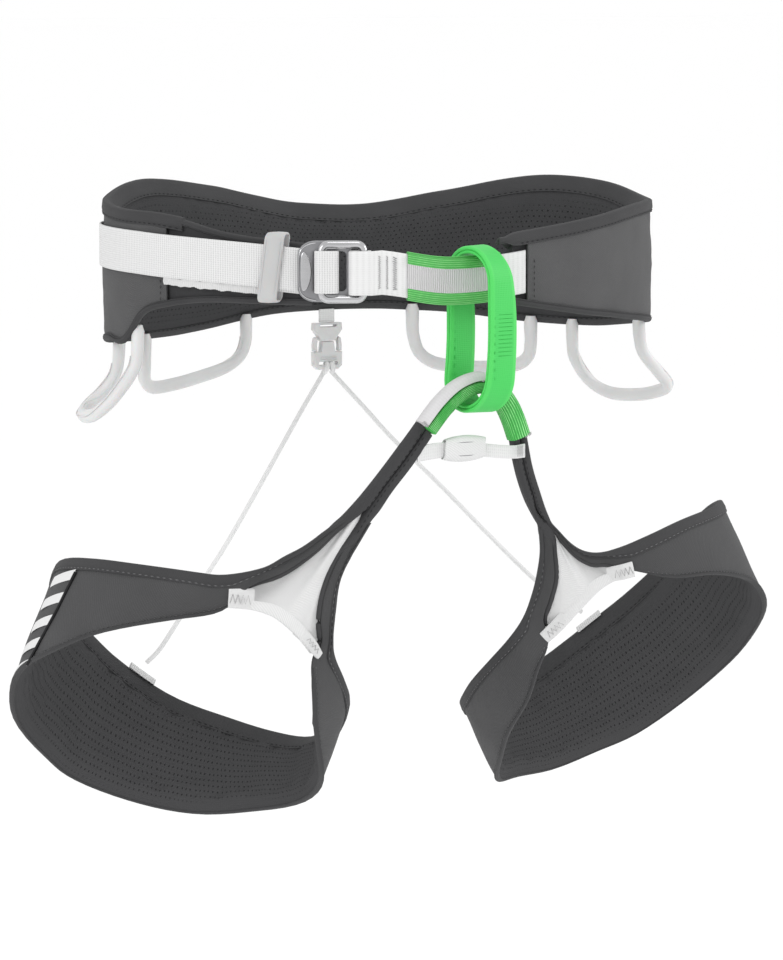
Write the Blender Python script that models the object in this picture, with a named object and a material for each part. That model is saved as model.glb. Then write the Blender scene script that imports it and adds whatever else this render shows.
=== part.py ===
"""A padded climbing harness: waist belt, tie-in points, belay loop, leg loops and rear riser.

Metres, +Z up. The origin is the centre of the waist ring, -Y is the wearer's front and +X the
wearer's left. Every piece of cloth or webbing is a thin closed solid, 0.3 mm clear of the next.
Belt angles start at the front and grow towards the wearer's right, round the back to 360 degrees.
Leg angles start at the front of the thigh and grow outwards, so the inner thigh is negative.
"""
import math

import bmesh
import bpy
import numpy as np
from mathutils import Matrix, Vector

GAP = 0.0003
WEB = 0.0013                       # webbing thickness
WEB_WIDTH = 0.022

# Waist ring: outer curve x = -A sin a, y = C sin^2 a - B cos a
RING_A, RING_B, RING_C = 0.1562, 0.098, 0.012
BELT_STATIONS = [33, 40, 47, 54, 61, 66.5, 70, 73.5, 76, 78.5, 81, 84, 88] + list(range(94, 353, 6))
TONGUE_END, SHELL_RIGHT, SHELL_LEFT, PAD_LEFT = 33.0, 66.9, 348.7, 352.0
BELT_TOP = [(33, .0200), (50, .0250), (66, .0330), (85, .0352), (112, .0400), (134, .0462), (156, .0405),
            (176, .0300), (192, .0285), (208, .0345), (232, .0432), (255, .0412), (275, .0352),
            (312, .0335), (330, .0290), (352, .0232)]
BELT_BOTTOM = [(33, -.0120), (66, -.0138), (75, -.0190), (83, -.0335), (94, -.0340), (112, -.0380),
               (134, -.0400), (152, -.0380), (170, -.0315), (186, -.0300), (208, -.0325), (230, -.0385),
               (248, -.0400), (275, -.0360), (300, -.0310), (320, -.0260), (338, -.0200), (352, -.0140)]
BINDING_WALL, BINDING_HEIGHT = 0.0008, 0.007
SHELL_IN, SHELL_OUT = 0.0019, 0.0011       # depths below the outer curve
TAPE_IN, TAPE_OUT, TAPE_TOP, TAPE_BOTTOM = 0.0032, 0.0022, 0.014, -0.008
FOAM_IN, FOAM_OUT = 0.0085, 0.0035
LINER_IN, LINER_OUT = 0.0096, 0.0088
BELT_THICKNESS = 0.0107
TONGUE_DEPTH = 0.0024                      # the tongue's binding sits this far behind the outer curve

# Strap that tightens the belt: heights of its centre line by belt angle
STRAP_MID = [(33, .0058), (43, .0083), (62, .0116), (95, .0145), (128, .0150)]
STRAP_END, LOAD_START, STRAP_START = 128.0, 65.9, 32.4
LOAD_ABOVE, LOAD_BELOW = 0.0097, 0.0123     # the load strap reaches this far above and below that line

# Buckle, placed on the outer curve and square to it; u runs towards the wearer's left, n outwards
BUCKLE_ANGLE, BUCKLE_Z = 29.0, 0.0058
PLATE_LEFT, PLATE_RIGHT, PLATE_HEIGHT, PLATE_THICK, PLATE_N = -0.0178, 0.0066, 0.031, 0.0020, 0.0047
ROD, FRAME_HEIGHT, FRAME_N = 0.0040, 0.0316, 0.0099
BAR_LEFT, BAR_RIGHT = -0.0061, 0.0151
ROLL_SPAN, ROLL_HALF = 0.0052, 0.0108      # the strap's turn over the left bar
KEEPER_ANGLE, KEEPER_WIDTH, KEEPER_WALL = 41.0, 0.011, 0.0012

# Tie-in webbing: belt angles of its run, depth at its start and how far it rises to meet the buckle
TIE_START, TIE_JOIN, TIE_DEPTH, TIE_RISE = SHELL_LEFT + 0.4, 380.0, 0.0027, 0.0105
TIE_MID, TIE_SAG, TIE_AT_BUCKLE, TIE_HALF = 0.0026, 0.0030, 0.0052, 0.0105
PROTECTOR = (355.0, 375.0)                 # belt angles covered by the tie-in point's sleeve
PROTECTOR_GROW, PROTECTOR_HALF = 0.0015, 0.0129

# Belay loop: a flat ring of webbing standing in the Y-Z plane, turned a little about Z
BELAY_CENTRE, BELAY_TURN = Vector((0.0, -0.0975, -0.0255)), 10.0
BELAY_HEIGHT, BELAY_DEPTH, BELAY_WIDTH, BELAY_THICK = 0.0895, 0.038, 0.0168, 0.0040

# Lower tie-in arch: outer edge, wearer's right to left, in the plane y = ARCH_Y
ARCH_Y = -0.0975
ARCH_EDGE = [(-.0345, -.0710), (-.0245, -.0597), (-.0130, -.0510), (.0, -.0474), (.0110, -.0508),
             (.0200, -.0606), (.0252, -.0700), (.0290, -.0800)]
ARCH_WEB, ARCH_GUARD, ARCH_DEPTH = 0.0046, 0.0064, 0.0096

# Leg loops: a tilted thigh cylinder; rows are (angle, height) of the upper edge and of the hole edge
THIGH_CENTRE, THIGH_TILT, THIGH_LEAN, THIGH_RADIUS = (0.130, -0.010, -0.216), 25.0, 5.0, 0.087
LEG_RIGHT_ROWS = [(-23, .109, -17, .106), (-20, .088, -13, .084), (-19, .075, -14, .065),
                  (-22, .060, -17, .052), (-26, .046, -21, .042), (-31, .038, -20, .031),
                  (-42, .031, -26, .017), (-57, .024, -36, -.001), (-76, .013, -52, -.015),
                  (-96, .005, -80, -.028), (-116, .003, -110, -.040), (-135, .003, -135, -.052),
                  (-158, .004, -158, -.057), (-182, .012, -182, -.057), (-200, .020, -198, -.051),
                  (-235, .032, -228, -.038), (-262, .040, -258, -.023), (-288, .043, -282, -.010),
                  (-308, .046, -302, .006), (-328, .051, -326, .024), (-338, .055, -341, .037),
                  (-349, .065, -347, .053), (-355, .075, -357, .067), (-360, .083, -365, .083),
                  (-365, .094, -372, .097), (-370, .106, -376, .106)]
LEG_LEFT_ROWS = [(-30, .104, -26, .099), (-33, .092, -29, .087), (-37, .082, -32, .075),
                 (-42, .072, -37, .065), (-49, .061, -42, .056), (-58, .052, -44, .043),
                 (-71, .042, -52, .031), (-86, .031, -62, .015), (-99, .021, -78, -.002),
                 (-113, .012, -95, -.022), (-130, .002, -118, -.041), (-148, -.005, -142, -.054),
                 (-166, -.008, -164, -.067), (-184, -.008, -184, -.073), (-203, -.003, -203, -.075),
                 (-222, .005, -226, -.067), (-245, .020, -250, -.052), (-268, .040, -270, -.034),
                 (-290, .051, -292, -.012), (-312, .058, -308, .008), (-336, .067, -332, .030),
                 (-352, .071, -352, .044), (-366, .074, -366, .061), (-374, .077, -373, .069),
                 (-379, .082, -378, .073), (-382, .089, -382, .081), (-384, .098, -384, .090),
                 (-386, .107, -386, .100)]
THIGH_SWELL = {-1: [(-390, 0), (-300, 0), (-270, -.0020), (-240, -.0048), (-212, -.0015), (-180, 0), (0, 0)],
               1: [(-390, 0), (-335, .0005), (-300, .0035), (-270, .0030), (-230, 0), (-180, 0), (0, 0)]}
GUSSET_RIGHT_ARC = [(-343, .040), (-350, .043), (-359, .044), (-368, .041), (-374, .038), (-379, .035)]
GUSSET_LEFT_ARC = [(-367, .057), (-373, .059), (-380, .058), (-387, .054), (-395, .049), (-402, .045)]
STEM_RIGHT_ROWS = [((.0345, -.0970, -.0735), (.0267, -.0970, -.0816)), ((.0435, -.0960, -.0855),
                    (.0350, -.0950, -.0940)), ((.0570, -.0940, -.1005), (.0470, -.0930, -.1090)),
                   ((.0705, -.0880, -.1165), (.0545, -.0835, -.1215))]
STEM_LEFT_ROWS = [((.0302, -.0970, -.0840), (.0212, -.0970, -.0858)), ((.0342, -.0950, -.0980),
                   (.0248, -.0940, -.0990)), ((.0420, -.0920, -.1130), (.0330, -.0900, -.1155)),
                  ((.0505, -.0830, -.1245), (.0430, -.0790, -.1275))]
STEM_THICK = 0.0062
LEG_SHELL, LEG_FOAM, LEG_LINER = (0.0012, 0.0019), (0.0023, 0.0063), (0.0067, 0.0073)
LEG_THICKNESS = 0.0085
EDGE_COVER = 0.0018                        # layers stop this far inside a bound edge

# Gear loops: belt angles of the two ends, how far they hang and how far they stand out
GEAR_LOOPS = {"front_right": (80, 116, .0370, .0200), "rear_right": (132, 163.5, .0245, .0060),
              "rear_left": (202.0, 231.8, .0255, .0060), "front_left": (245, 283, .0370, .0245)}
GEAR_TUBE, GEAR_DEPTH = 0.0070, 0.0054

# Rear riser: tab and release clip under the belt, and one cord to the back of each leg loop
RISER_X, RISER_Y, CORD_DIAMETER = 0.0073, 0.0935, 0.0026
CORD_RIGHT = [(.0054, .0935, -.0646), (-.0099, .0919, -.0862), (-.0331, .0883, -.1196),
              (-.0565, .0840, -.1520), (-.0710, .0813, -.1701), (-.0909, .0774, -.1947),
              (-.1027, .0752, -.2088), (-.1112, .0733, -.2153)]
CORD_LEFT = [(.0106, .0935, -.0646), (.0299, .0913, -.0853), (.0467, .0885, -.1038),
             (.0734, .0840, -.1301), (.1022, .0782, -.1601), (.1277, .0728, -.1856),
             (.1431, .0704, -.1978), (.1563, .0681, -.2058)]
TAB_ANGLES = {"right": -171.0, "left": -203.0}
STRAP_Y, SLIDER_X = -0.0970, -0.0080

COLOURS = {
    "outer_fabric": ((.085, .085, .088), .85, 0.0), "liner_mesh": ((.045, .045, .047), .9, 0.0),
    "foam": ((.05, .05, .052), .95, 0.0), "binding": ((.06, .06, .062), .8, 0.0),
    "white_webbing": ((.78, .78, .78), .75, 0.0), "green_webbing": ((.09, .62, .13), .6, 0.0),
    "grey_plastic": ((.62, .62, .63), .45, 0.0), "aluminium": ((.55, .55, .56), .32, 1.0),
    "polished_metal": ((.78, .78, .79), .12, 1.0), "light_gusset": ((.62, .63, .64), .8, 0.0),
    "cord_fabric": ((.70, .70, .71), .7, 0.0)}


def material(name):
    """The shared Principled material of that name."""
    found = bpy.data.materials.get(name)
    if found:
        return found
    colour, rough, metal = COLOURS[name]
    made = bpy.data.materials.new(name)
    made.use_nodes = True
    shader = made.node_tree.nodes["Principled BSDF"]
    shader.inputs["Base Color"].default_value = (*colour, 1.0)
    shader.inputs["Roughness"].default_value = rough
    shader.inputs["Metallic"].default_value = metal
    return made


def body(name, place):
    """An empty on a joint's axis that carries the pieces of one moving body."""
    empty = bpy.data.objects.new("body_" + name, None)
    empty.location = place
    bpy.context.collection.objects.link(empty)
    return empty


def add(name, bm, finish, carrier):
    """Turn a bmesh in world places into an object whose origin is its carrier's."""
    bmesh.ops.recalc_face_normals(bm, faces=bm.faces)
    if bm.calc_volume(signed=True) < 0:
        bmesh.ops.reverse_faces(bm, faces=bm.faces)
    mesh = bpy.data.meshes.new(name)
    bm.transform(Matrix.Translation(-carrier.location))
    bm.to_mesh(mesh)
    bm.free()
    mesh.materials.append(material(finish))
    mesh.shade_smooth()
    mesh.set_sharp_from_angle(angle=math.radians(40))
    piece = bpy.data.objects.new(name, mesh)
    piece.parent = carrier
    bpy.context.collection.objects.link(piece)
    return piece


def curve_at(knots, at):
    """A smooth value through rows of (place, value, ...), with the slopes of its neighbours."""
    rows = np.array(knots, float)
    places, values = rows[:, 0], rows[:, 1:]
    slopes = np.gradient(values, places, axis=0)
    i = int(np.clip(np.searchsorted(places, at) - 1, 0, len(places) - 2))
    span = places[i + 1] - places[i]
    t = (at - places[i]) / span
    near = (1 + 2 * t) * (1 - t) ** 2 * values[i] + t * t * (3 - 2 * t) * values[i + 1]
    bend = t * (1 - t) ** 2 * slopes[i] - t * t * (1 - t) * slopes[i + 1]
    return near + span * bend


def row_curve(rows, count):
    """That many smooth rows through a list of rows, evenly spaced by row number."""
    knots = [(i, *np.ravel(row)) for i, row in enumerate(rows)]
    return [curve_at(knots, at) for at in np.linspace(0, len(rows) - 1, count)]


def loft(name, rings, finish, carrier, closed=False):
    """One closed solid through a list of rings of points; open runs get a cap at each end.

    The far half of each ring is split the other way, so that neighbouring layers stay parallel.
    """
    bm = bmesh.new()
    loops = [[bm.verts.new(p) for p in ring] for ring in rings]
    count = len(loops[0])
    pairs = list(zip(loops, loops[1:])) + ([(loops[-1], loops[0])] if closed else [])
    for one, two in pairs:
        for i in range(count):
            j = (i + 1) % count
            halves = (((one[i], one[j], two[j]), (one[i], two[j], two[i])) if i < count // 2 else
                      ((one[i], one[j], two[i]), (one[j], two[j], two[i])))
            for corners in halves:
                bm.faces.new(corners)
    if not closed:
        bm.faces.new(loops[0])
        bm.faces.new(loops[-1])
    return add(name, bm, finish, carrier)


def sleeve(name, outer, inner, finish, carrier):
    """A tube with a wall: outer and inner rings joined by a rim at each end."""
    bm = bmesh.new()
    shells = [[[bm.verts.new(p) for p in ring] for ring in rings] for rings in (outer, inner)]
    count = len(outer[0])
    for loops in shells:
        for one, two in zip(loops, loops[1:]):
            for i in range(count):
                bm.faces.new((one[i], one[(i + 1) % count], two[(i + 1) % count], two[i]))
    for end in (0, -1):
        out, inn = shells[0][end], shells[1][end]
        for i in range(count):
            bm.faces.new((out[i], out[(i + 1) % count], inn[(i + 1) % count], inn[i]))
    return add(name, bm, finish, carrier)


def round_rings(path, across, deep, sides, closed=False, up=Vector((0, 0, 1))):
    """Elliptical rings square to a path; across lies along the side direction, deep along the other."""
    rings = []
    for i, point in enumerate(path):
        before = path[i - 1] if closed or i else path[0]
        after = path[(i + 1) % len(path)] if closed or i + 1 < len(path) else path[-1]
        along = (after - before).normalized()
        side = along.cross(up).normalized()
        lift = side.cross(along).normalized()
        turns = [2 * math.pi * (k + .5) / sides for k in range(sides)]
        rings.append([point + side * across * math.cos(t) + lift * deep * math.sin(t) for t in turns])
    return rings


# ---- waist belt -----------------------------------------------------------------------------------

def belt_point(angle, depth, z):
    """A point the given depth inside the waist ring's outer curve."""
    a = math.radians(angle)
    place = Vector((-RING_A * math.sin(a), RING_C * math.sin(a) ** 2 - RING_B * math.cos(a), z))
    along = Vector((-RING_A * math.cos(a), RING_C * math.sin(2 * a) + RING_B * math.sin(a), 0)).normalized()
    return place - Vector((-along.y, along.x, 0)) * depth


def belt_angles(start, end, step=6.5):
    return np.linspace(start, end, max(2, int(abs(end - start) / step) + 1))


def shared_angles(start, end):
    """The belt's common stations between two ends, so that its layers stay parallel."""
    return [start] + [a for a in BELT_STATIONS if start + .5 < a < end - .5] + [end]


def belt_strip(name, angles, depths, top, bottom, finish, carrier):
    """A strip round the belt; depths, top and bottom are functions of the angle."""
    rings = []
    for a in angles:
        outer, inner = depths(a)
        rings.append([belt_point(a, outer, top(a)), belt_point(a, outer, bottom(a)),
                      belt_point(a, inner, bottom(a)), belt_point(a, inner, top(a))])
    return loft(name, rings, finish, carrier)


def belt_layer(name, start, end, outer, inner, finish, carrier):
    return belt_strip(name, shared_angles(start, end), lambda a: (outer, inner),
                      lambda a: curve_at(BELT_TOP, a)[0] - EDGE_COVER,
                      lambda a: curve_at(BELT_BOTTOM, a)[0] + EDGE_COVER, finish, carrier)


def binding_depth(angle):
    """The binding steps in from the shell to the thinner tongue."""
    return TONGUE_DEPTH * float(np.clip((66.5 - angle) / 5.5, 0, 1))


def belt_binding(name, edge, sign, carrier):
    """A folded tape over one edge of the belt; sign is +1 for the top edge."""
    rings = []
    for a in shared_angles(TONGUE_END, PAD_LEFT):
        z, out = curve_at(edge, a)[0], binding_depth(a)
        foot, roof = z - sign * BINDING_HEIGHT, z - sign * BINDING_WALL
        profile = [(out, foot), (out, z), (BELT_THICKNESS, z), (BELT_THICKNESS, foot),
                   (BELT_THICKNESS - BINDING_WALL, foot), (BELT_THICKNESS - BINDING_WALL, roof),
                   (out + BINDING_WALL, roof), (out + BINDING_WALL, foot)]
        rings.append([belt_point(a, depth, height) for depth, height in profile])
    return loft(name, rings, "binding", carrier)


def waist_pad(root):
    """Foam, mesh liner, outer shell, hidden load tape and the two bindings."""
    belt_layer("waist_foam_pad", TONGUE_END + .5, PAD_LEFT - .3, FOAM_OUT, FOAM_IN, "foam", root)
    belt_layer("waist_mesh_liner", TONGUE_END + .5, PAD_LEFT - .3, LINER_OUT, LINER_IN, "liner_mesh", root)
    belt_layer("waist_outer_shell", SHELL_RIGHT, SHELL_LEFT, SHELL_OUT, SHELL_IN, "outer_fabric", root)
    belt_strip("waist_load_tape", shared_angles(SHELL_RIGHT + 1, SHELL_LEFT - 1), lambda a: (TAPE_OUT, TAPE_IN),
               lambda a: TAPE_TOP, lambda a: TAPE_BOTTOM, "white_webbing", root)
    belt_binding("waist_top_binding", BELT_TOP, 1, root)
    belt_binding("waist_bottom_binding", BELT_BOTTOM, -1, root)


# ---- straps and buckle ----------------------------------------------------------------------------

def buckle_frame():
    """Origin, u and n of the buckle on the waist ring."""
    here = belt_point(BUCKLE_ANGLE, 0, BUCKLE_Z)
    out = (belt_point(BUCKLE_ANGLE, -.01, BUCKLE_Z) - here).normalized()
    return here, Vector((-out.y, out.x, 0)), out


def buckle_point(u, n, z=0.0):
    here, along, out = buckle_frame()
    return here + along * u + out * n + Vector((0, 0, z))


def adjustment_strap(root):
    """The strap comes out of the belt, runs to the buckle and returns outside as a tail."""
    def mid(a):
        return curve_at(STRAP_MID, a)[0]

    def tail_depth(a):
        step_out = float(np.clip((76 - a) / 8, 0, 1))
        near = -GAP - (WEB + GAP) * step_out
        return near - WEB, near
    belt_strip("waist_load_strap", belt_angles(STRAP_START, LOAD_START, 4), lambda a: (-GAP - WEB, -GAP),
               lambda a: mid(a) + LOAD_ABOVE, lambda a: mid(a) - LOAD_BELOW, "white_webbing", root)
    belt_strip("adjustment_strap", belt_angles(STRAP_START, STRAP_END, 4), tail_depth,
               lambda a: mid(a) + WEB_WIDTH / 2, lambda a: mid(a) - WEB_WIDTH / 2, "white_webbing", root)


def flat_path(name, path, half, finish, carrier, drop=()):
    """Webbing on edge: a plan path of (place, side) with the thickness along side."""
    rings = []
    for i, (place, side) in enumerate(path):
        fall = drop[i] if drop else 0.0
        low, high = Vector((0, 0, fall - half)), Vector((0, 0, fall + half))
        rings.append([place + high, place + low, place + side * WEB + low, place + side * WEB + high])
    return loft(name, rings, finish, carrier)


def strap_roll(ring_body):
    """The strap where it turns over the frame's left bar."""
    radius = ROD / 2 + GAP
    path = []
    for turn in np.linspace(200, -10, 10):
        t = math.radians(turn)
        side = buckle_frame()[1] * math.cos(t) + buckle_frame()[2] * math.sin(t)
        stretch = ROLL_SPAN if turn < 90 else 0.0
        path.append((buckle_point(BAR_LEFT + stretch, FRAME_N) + side * radius, side))
    flat_path("buckle_strap_turn", path, ROLL_HALF, "white_webbing", ring_body)


def tie_in_line(angle):
    """Depth of the tie-in webbing's inner face, and the height of its centre line."""
    lift = float(np.clip((angle - TIE_START) / (TIE_JOIN - TIE_START), 0, 1))
    return TIE_DEPTH - TIE_RISE * lift * lift, TIE_MID - TIE_SAG * math.sin(math.pi * lift)


def tie_in_webbing(root):
    """From the left shell across the front, round the frame's right bar and back under itself."""
    path, drop = [], []
    for a in np.linspace(TIE_START, TIE_JOIN, 9):
        depth, mid = tie_in_line(a)
        place = belt_point(a, depth, 0)
        path.append((place, (belt_point(a, depth - .01, 0) - place).normalized()))
        drop.append(mid)
    radius = ROD / 2 + GAP
    along, out = buckle_frame()[1:]
    level = Vector((0, 0, BUCKLE_Z))
    for u in (BAR_RIGHT + ROD, BAR_RIGHT):
        path.append((buckle_point(u, FRAME_N + radius) - level, out))
        drop.append(TIE_AT_BUCKLE)
    for turn in np.linspace(100, 260, 7):
        t = math.radians(turn)
        side = along * math.cos(t) + out * math.sin(t)
        path.append((buckle_point(BAR_RIGHT - ROD, FRAME_N) - level + side * radius, side))
        drop.append(TIE_AT_BUCKLE)
    for u, lift in ((BAR_RIGHT, 0), (BAR_RIGHT + ROD, .0002)):
        path.append((buckle_point(u, FRAME_N - radius + lift) - level, -out))
        drop.append(TIE_AT_BUCKLE)
    flat_path("tie_in_webbing", path, TIE_HALF, "white_webbing", root, drop)


def upper_protector(root):
    """Abrasion sleeve round the tie-in webbing behind the belay loop."""
    outer, inner = [], []
    for a in np.linspace(PROTECTOR[0], PROTECTOR[1], 8):
        depth, mid = tie_in_line(a)
        for rings, grow, half in ((outer, PROTECTOR_GROW, PROTECTOR_HALF), (inner, .0004, TIE_HALF + .0011)):
            front, back = depth - WEB - grow, depth + grow
            rings.append([belt_point(a, front, mid + half), belt_point(a, front, mid - half),
                          belt_point(a, back, mid - half), belt_point(a, back, mid + half)])
    sleeve("upper_tie_in_protector", outer, inner, "green_webbing", root)


def buckle_plate(root):
    """Aluminium plate behind the frame, rounded at its outer end, with an oval and a square window."""
    length, middle = PLATE_RIGHT - PLATE_LEFT, (PLATE_RIGHT + PLATE_LEFT) / 2

    def outline(left, right, half, corner, steps=5):
        points = []
        for cu, cz, first in ((right - .0015, half - .0015, 0), (left + corner, half - corner * .8, 90),
                              (left + corner, -half + corner * .8, 180), (right - .0015, -half + .0015, 270)):
            reach = corner if cu < middle else .0015
            tall = corner * .8 if cu < middle else .0015
            for k in range(steps):
                t = math.radians(first + 90 * k / (steps - 1))
                points.append((cu + reach * math.cos(t), cz + tall * math.sin(t)))
        return points
    outer = outline(PLATE_LEFT, PLATE_RIGHT, PLATE_HEIGHT / 2, .009)
    window = [(u * .60 - length * .015 + middle * .4, z * .66) for u, z in outer]
    front, back = PLATE_N + PLATE_THICK / 2, PLATE_N - PLATE_THICK / 2
    rings = [[buckle_point(u, n, z) for u, z in shape]
             for shape, n in ((outer, front), (outer, back), (window, back), (window, front))]
    loft("buckle_plate", rings, "aluminium", root, closed=True)
    bar = [[buckle_point(u, n, z) for u, n in ((-.0079, PLATE_N + .0007), (-.0103, PLATE_N + .0007),
                                               (-.0103, PLATE_N - .0007), (-.0079, PLATE_N - .0007))]
           for z in (-.0094, .0094)]
    loft("buckle_plate_bar", bar, "aluminium", root)


def buckle_ring(ring_body):
    """Polished rectangular rod frame that tips out about its right bar to slacken the strap."""
    half, corner = FRAME_HEIGHT / 2 - ROD / 2, .0035
    path = []
    for cu, cz, first in ((BAR_RIGHT - corner, half - corner, 0), (BAR_LEFT + corner, half - corner, 90),
                          (BAR_LEFT + corner, -half + corner, 180), (BAR_RIGHT - corner, -half + corner, 270)):
        for k in range(4):
            t = math.radians(first + 30 * k)
            path.append(buckle_point(cu + corner * math.cos(t), FRAME_N, cz + corner * math.sin(t)))
    rings = round_rings(path, ROD / 2, ROD / 2, 8, closed=True, up=buckle_frame()[2])
    loft("buckle_ring_frame", rings, "polished_metal", ring_body, closed=True)


def strap_keeper(keeper_body):
    """Elastic band round both layers of the strap."""
    here = belt_point(KEEPER_ANGLE, 0, 0)
    out = (belt_point(KEEPER_ANGLE, -.01, 0) - here).normalized()
    along = Vector((-out.y, out.x, 0))
    outer, inner = [], []
    for s in (-KEEPER_WIDTH / 2, 0, KEEPER_WIDTH / 2):
        for rings, wall in ((outer, 0.0), (inner, KEEPER_WALL)):
            low, high, near, far = -.0102 + wall, .0254 - wall, -.0020 + wall, .0056 - wall
            rings.append([here + along * s + out * n + Vector((0, 0, z)) for n, z in
                          ((far, high - .003), (far, low + .003), (far - .0022, low), (near, low),
                           (near, high), (far - .0022, high))])
    sleeve("strap_keeper", outer, inner, "grey_plastic", keeper_body)


# ---- belay loop and lower tie-in point ------------------------------------------------------------

def belay_loop(belay_body):
    """A closed ring of webbing through both tie-in points."""
    radius = BELAY_DEPTH / 2
    straight = BELAY_HEIGHT / 2 - radius
    turn = Matrix.Rotation(math.radians(BELAY_TURN), 3, "Z")
    rings = []
    for centre, first in ((straight, 0), (-straight, 180)):
        for t in np.radians(np.linspace(first, first + 180, 9)):
            out = Vector((0, -math.cos(t), math.sin(t)))
            face, back = Vector((0, 0, centre)) + out * radius, Vector((0, 0, centre)) + out * (radius - BELAY_THICK)
            half = Vector((BELAY_WIDTH / 2, 0, 0))
            rings.append([BELAY_CENTRE + turn @ p for p in (face + half, back + half, back - half, face - half)])
    loft("belay_loop", rings, "green_webbing", belay_body, closed=True)


def arch_frames(count):
    """Places along the arch's outer edge with the inward direction at each."""
    rows = row_curve(ARCH_EDGE, count)
    frames = []
    for i, (x, z) in enumerate(rows):
        before, after = rows[max(i - 1, 0)], rows[min(i + 1, count - 1)]
        along = Vector((after[0] - before[0], 0, after[1] - before[1])).normalized()
        frames.append((Vector((x, ARCH_Y, z)), Vector((along.z, 0, -along.x))))
    return frames


def lower_tie_in(root):
    """Webbing arch between the leg loops with a ribbed guard along its underside."""
    web, guard = [], []
    half, fat = Vector((0, ARCH_DEPTH / 2, 0)), Vector((0, ARCH_DEPTH / 2 + .0008, 0))
    for place, inward in arch_frames(19):
        inner, top = place + inward * ARCH_WEB, place + inward * (ARCH_WEB + GAP)
        low = top + inward * ARCH_GUARD
        web.append([place + half * .8, place - half * .8, inner - half, inner + half])
        guard.append([top + fat, top - fat, (top + low) / 2 - fat * 1.05, low - fat * .6,
                      low + fat * .6, (top + low) / 2 + fat * 1.05])
    loft("lower_tie_in_webbing", web, "white_webbing", root)
    loft("lower_tie_in_protector", guard, "green_webbing", root)


def cross_strap(root):
    """Elastic strap between the stems, in two halves with a sliding keeper at the middle."""
    for side, ends in (("right", ((-.0262, -.0872, .0042), (SLIDER_X - .0002, -.0866, .0036))),
                       ("left", ((SLIDER_X + .0002, -.0866, .0036), (.0190, -.0906, .0034)))):
        rings = []
        for x, z, half in row_curve([ends[0], ((ends[0][0] + ends[1][0]) / 2, (ends[0][1] + ends[1][1]) / 2,
                                               .0036), ends[1]], 6):
            rings.append([Vector((x, STRAP_Y + dy, z + dz)) for dy, dz in
                          ((-.0006, half), (-.0006, -half), (.0006, -half), (.0006, half))])
        loft("cross_strap_" + side, rings, "white_webbing", root)


def cross_slider(slider_body):
    """Keeper that gathers the cross strap."""
    outer, inner = [], []
    for s in np.linspace(-1, 1, 5):
        x, swell = SLIDER_X + s * .0115, 1 - .45 * s * s
        for rings, wall in ((outer, .0013), (inner, 0.0)):
            tall, deep = .0058 + wall * swell, .0013 + wall
            rings.append([Vector((x, STRAP_Y + deep * sy, -.0866 + tall * sz)) for sy, sz in
                          ((-1, 1), (-1, -1), (1, -1), (1, 1))])
    sleeve("cross_strap_slider", outer, inner, "light_gusset", slider_body)


# ---- leg loops ------------------------------------------------------------------------------------

def thigh_point(side, angle, height, depth):
    """A point the given depth under the leg loop's outer surface; side is -1 right, +1 left."""
    tilt, lean = math.radians(THIGH_TILT), math.radians(THIGH_LEAN)
    up = Vector((-side * math.sin(tilt), math.sin(lean), 0))
    up.z = math.sqrt(1 - up.length_squared)
    across = (Vector((1, 0, 0)) - up * up.x).normalized()
    ahead = up.cross(across)
    t, r = math.radians(angle), THIGH_RADIUS + curve_at(THIGH_SWELL[side], angle)[0] - depth
    centre = Vector((side * THIGH_CENTRE[0], *THIGH_CENTRE[1:]))
    return centre + across * side * r * math.sin(t) - ahead * r * math.cos(t) + up * height


def inset_row(row, top_cut, low_cut):
    """Pull the two ends of a row in along the row by the given lengths."""
    top, low = np.array(row[:2]), np.array(row[2:])
    scale = np.array([math.radians(1) * THIGH_RADIUS, 1.0])
    step = (low - top) * scale
    step = step / np.linalg.norm(step) / scale
    return (*(top + step * top_cut), *(low - step * low_cut))


def leg_layer(name, side, rows, depths, cuts, finish, carrier):
    """One closed layer of a leg loop, four points across so that it follows the thigh."""
    rings = []
    for row in rows:
        top_angle, top, low_angle, low = inset_row(row, *cuts)
        line = [(top_angle + (low_angle - top_angle) * k / 3, top + (low - top) * k / 3) for k in range(4)]
        rings.append([thigh_point(side, a, h, depths[0]) for a, h in line]
                     + [thigh_point(side, a, h, depths[1]) for a, h in reversed(line)])
    return loft(name, rings, finish, carrier)


def leg_binding(name, side, rows, upper, carrier):
    """Folded tape over the upper edge or the hole edge of a leg loop."""
    rings = []
    for row in rows:
        if not upper:
            row = (*row[2:], *row[:2])
        span = math.hypot((row[2] - row[0]) * math.radians(1) * THIGH_RADIUS, row[3] - row[1])
        foot = inset_row(row, min(BINDING_HEIGHT, span * .42), 0)
        roof = inset_row(row, BINDING_WALL, 0)
        profile = [(foot, 0), (row, 0), (row, LEG_THICKNESS), (foot, LEG_THICKNESS),
                   (foot, LEG_THICKNESS - BINDING_WALL), (roof, LEG_THICKNESS - BINDING_WALL),
                   (roof, BINDING_WALL), (foot, BINDING_WALL)]
        rings.append([thigh_point(side, at[0], at[1], depth) for at, depth in profile])
    return loft(name, rings, "binding", carrier)


def leg_stem(name, side, rows, carrier):
    """Padded strap that carries a leg loop up to the tie-in arch."""
    rings = []
    for ox, oy, oz, ix, iy, iz in row_curve(rows, 9):
        outer, inner = Vector((side * ox, oy, oz)), Vector((side * ix, iy, iz))
        across = (outer - inner).normalized()
        back = Vector((0, 1, 0)) - across * across.y
        back.normalize()
        rings.append([outer - across * .001, (outer + inner) / 2 - back * .0006, inner + across * .001,
                      inner + back * STEM_THICK * .5, inner + across * .001 + back * STEM_THICK,
                      outer - across * .001 + back * STEM_THICK, outer + back * STEM_THICK * .5])
    return loft(name, rings, "outer_fabric", carrier)


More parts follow.
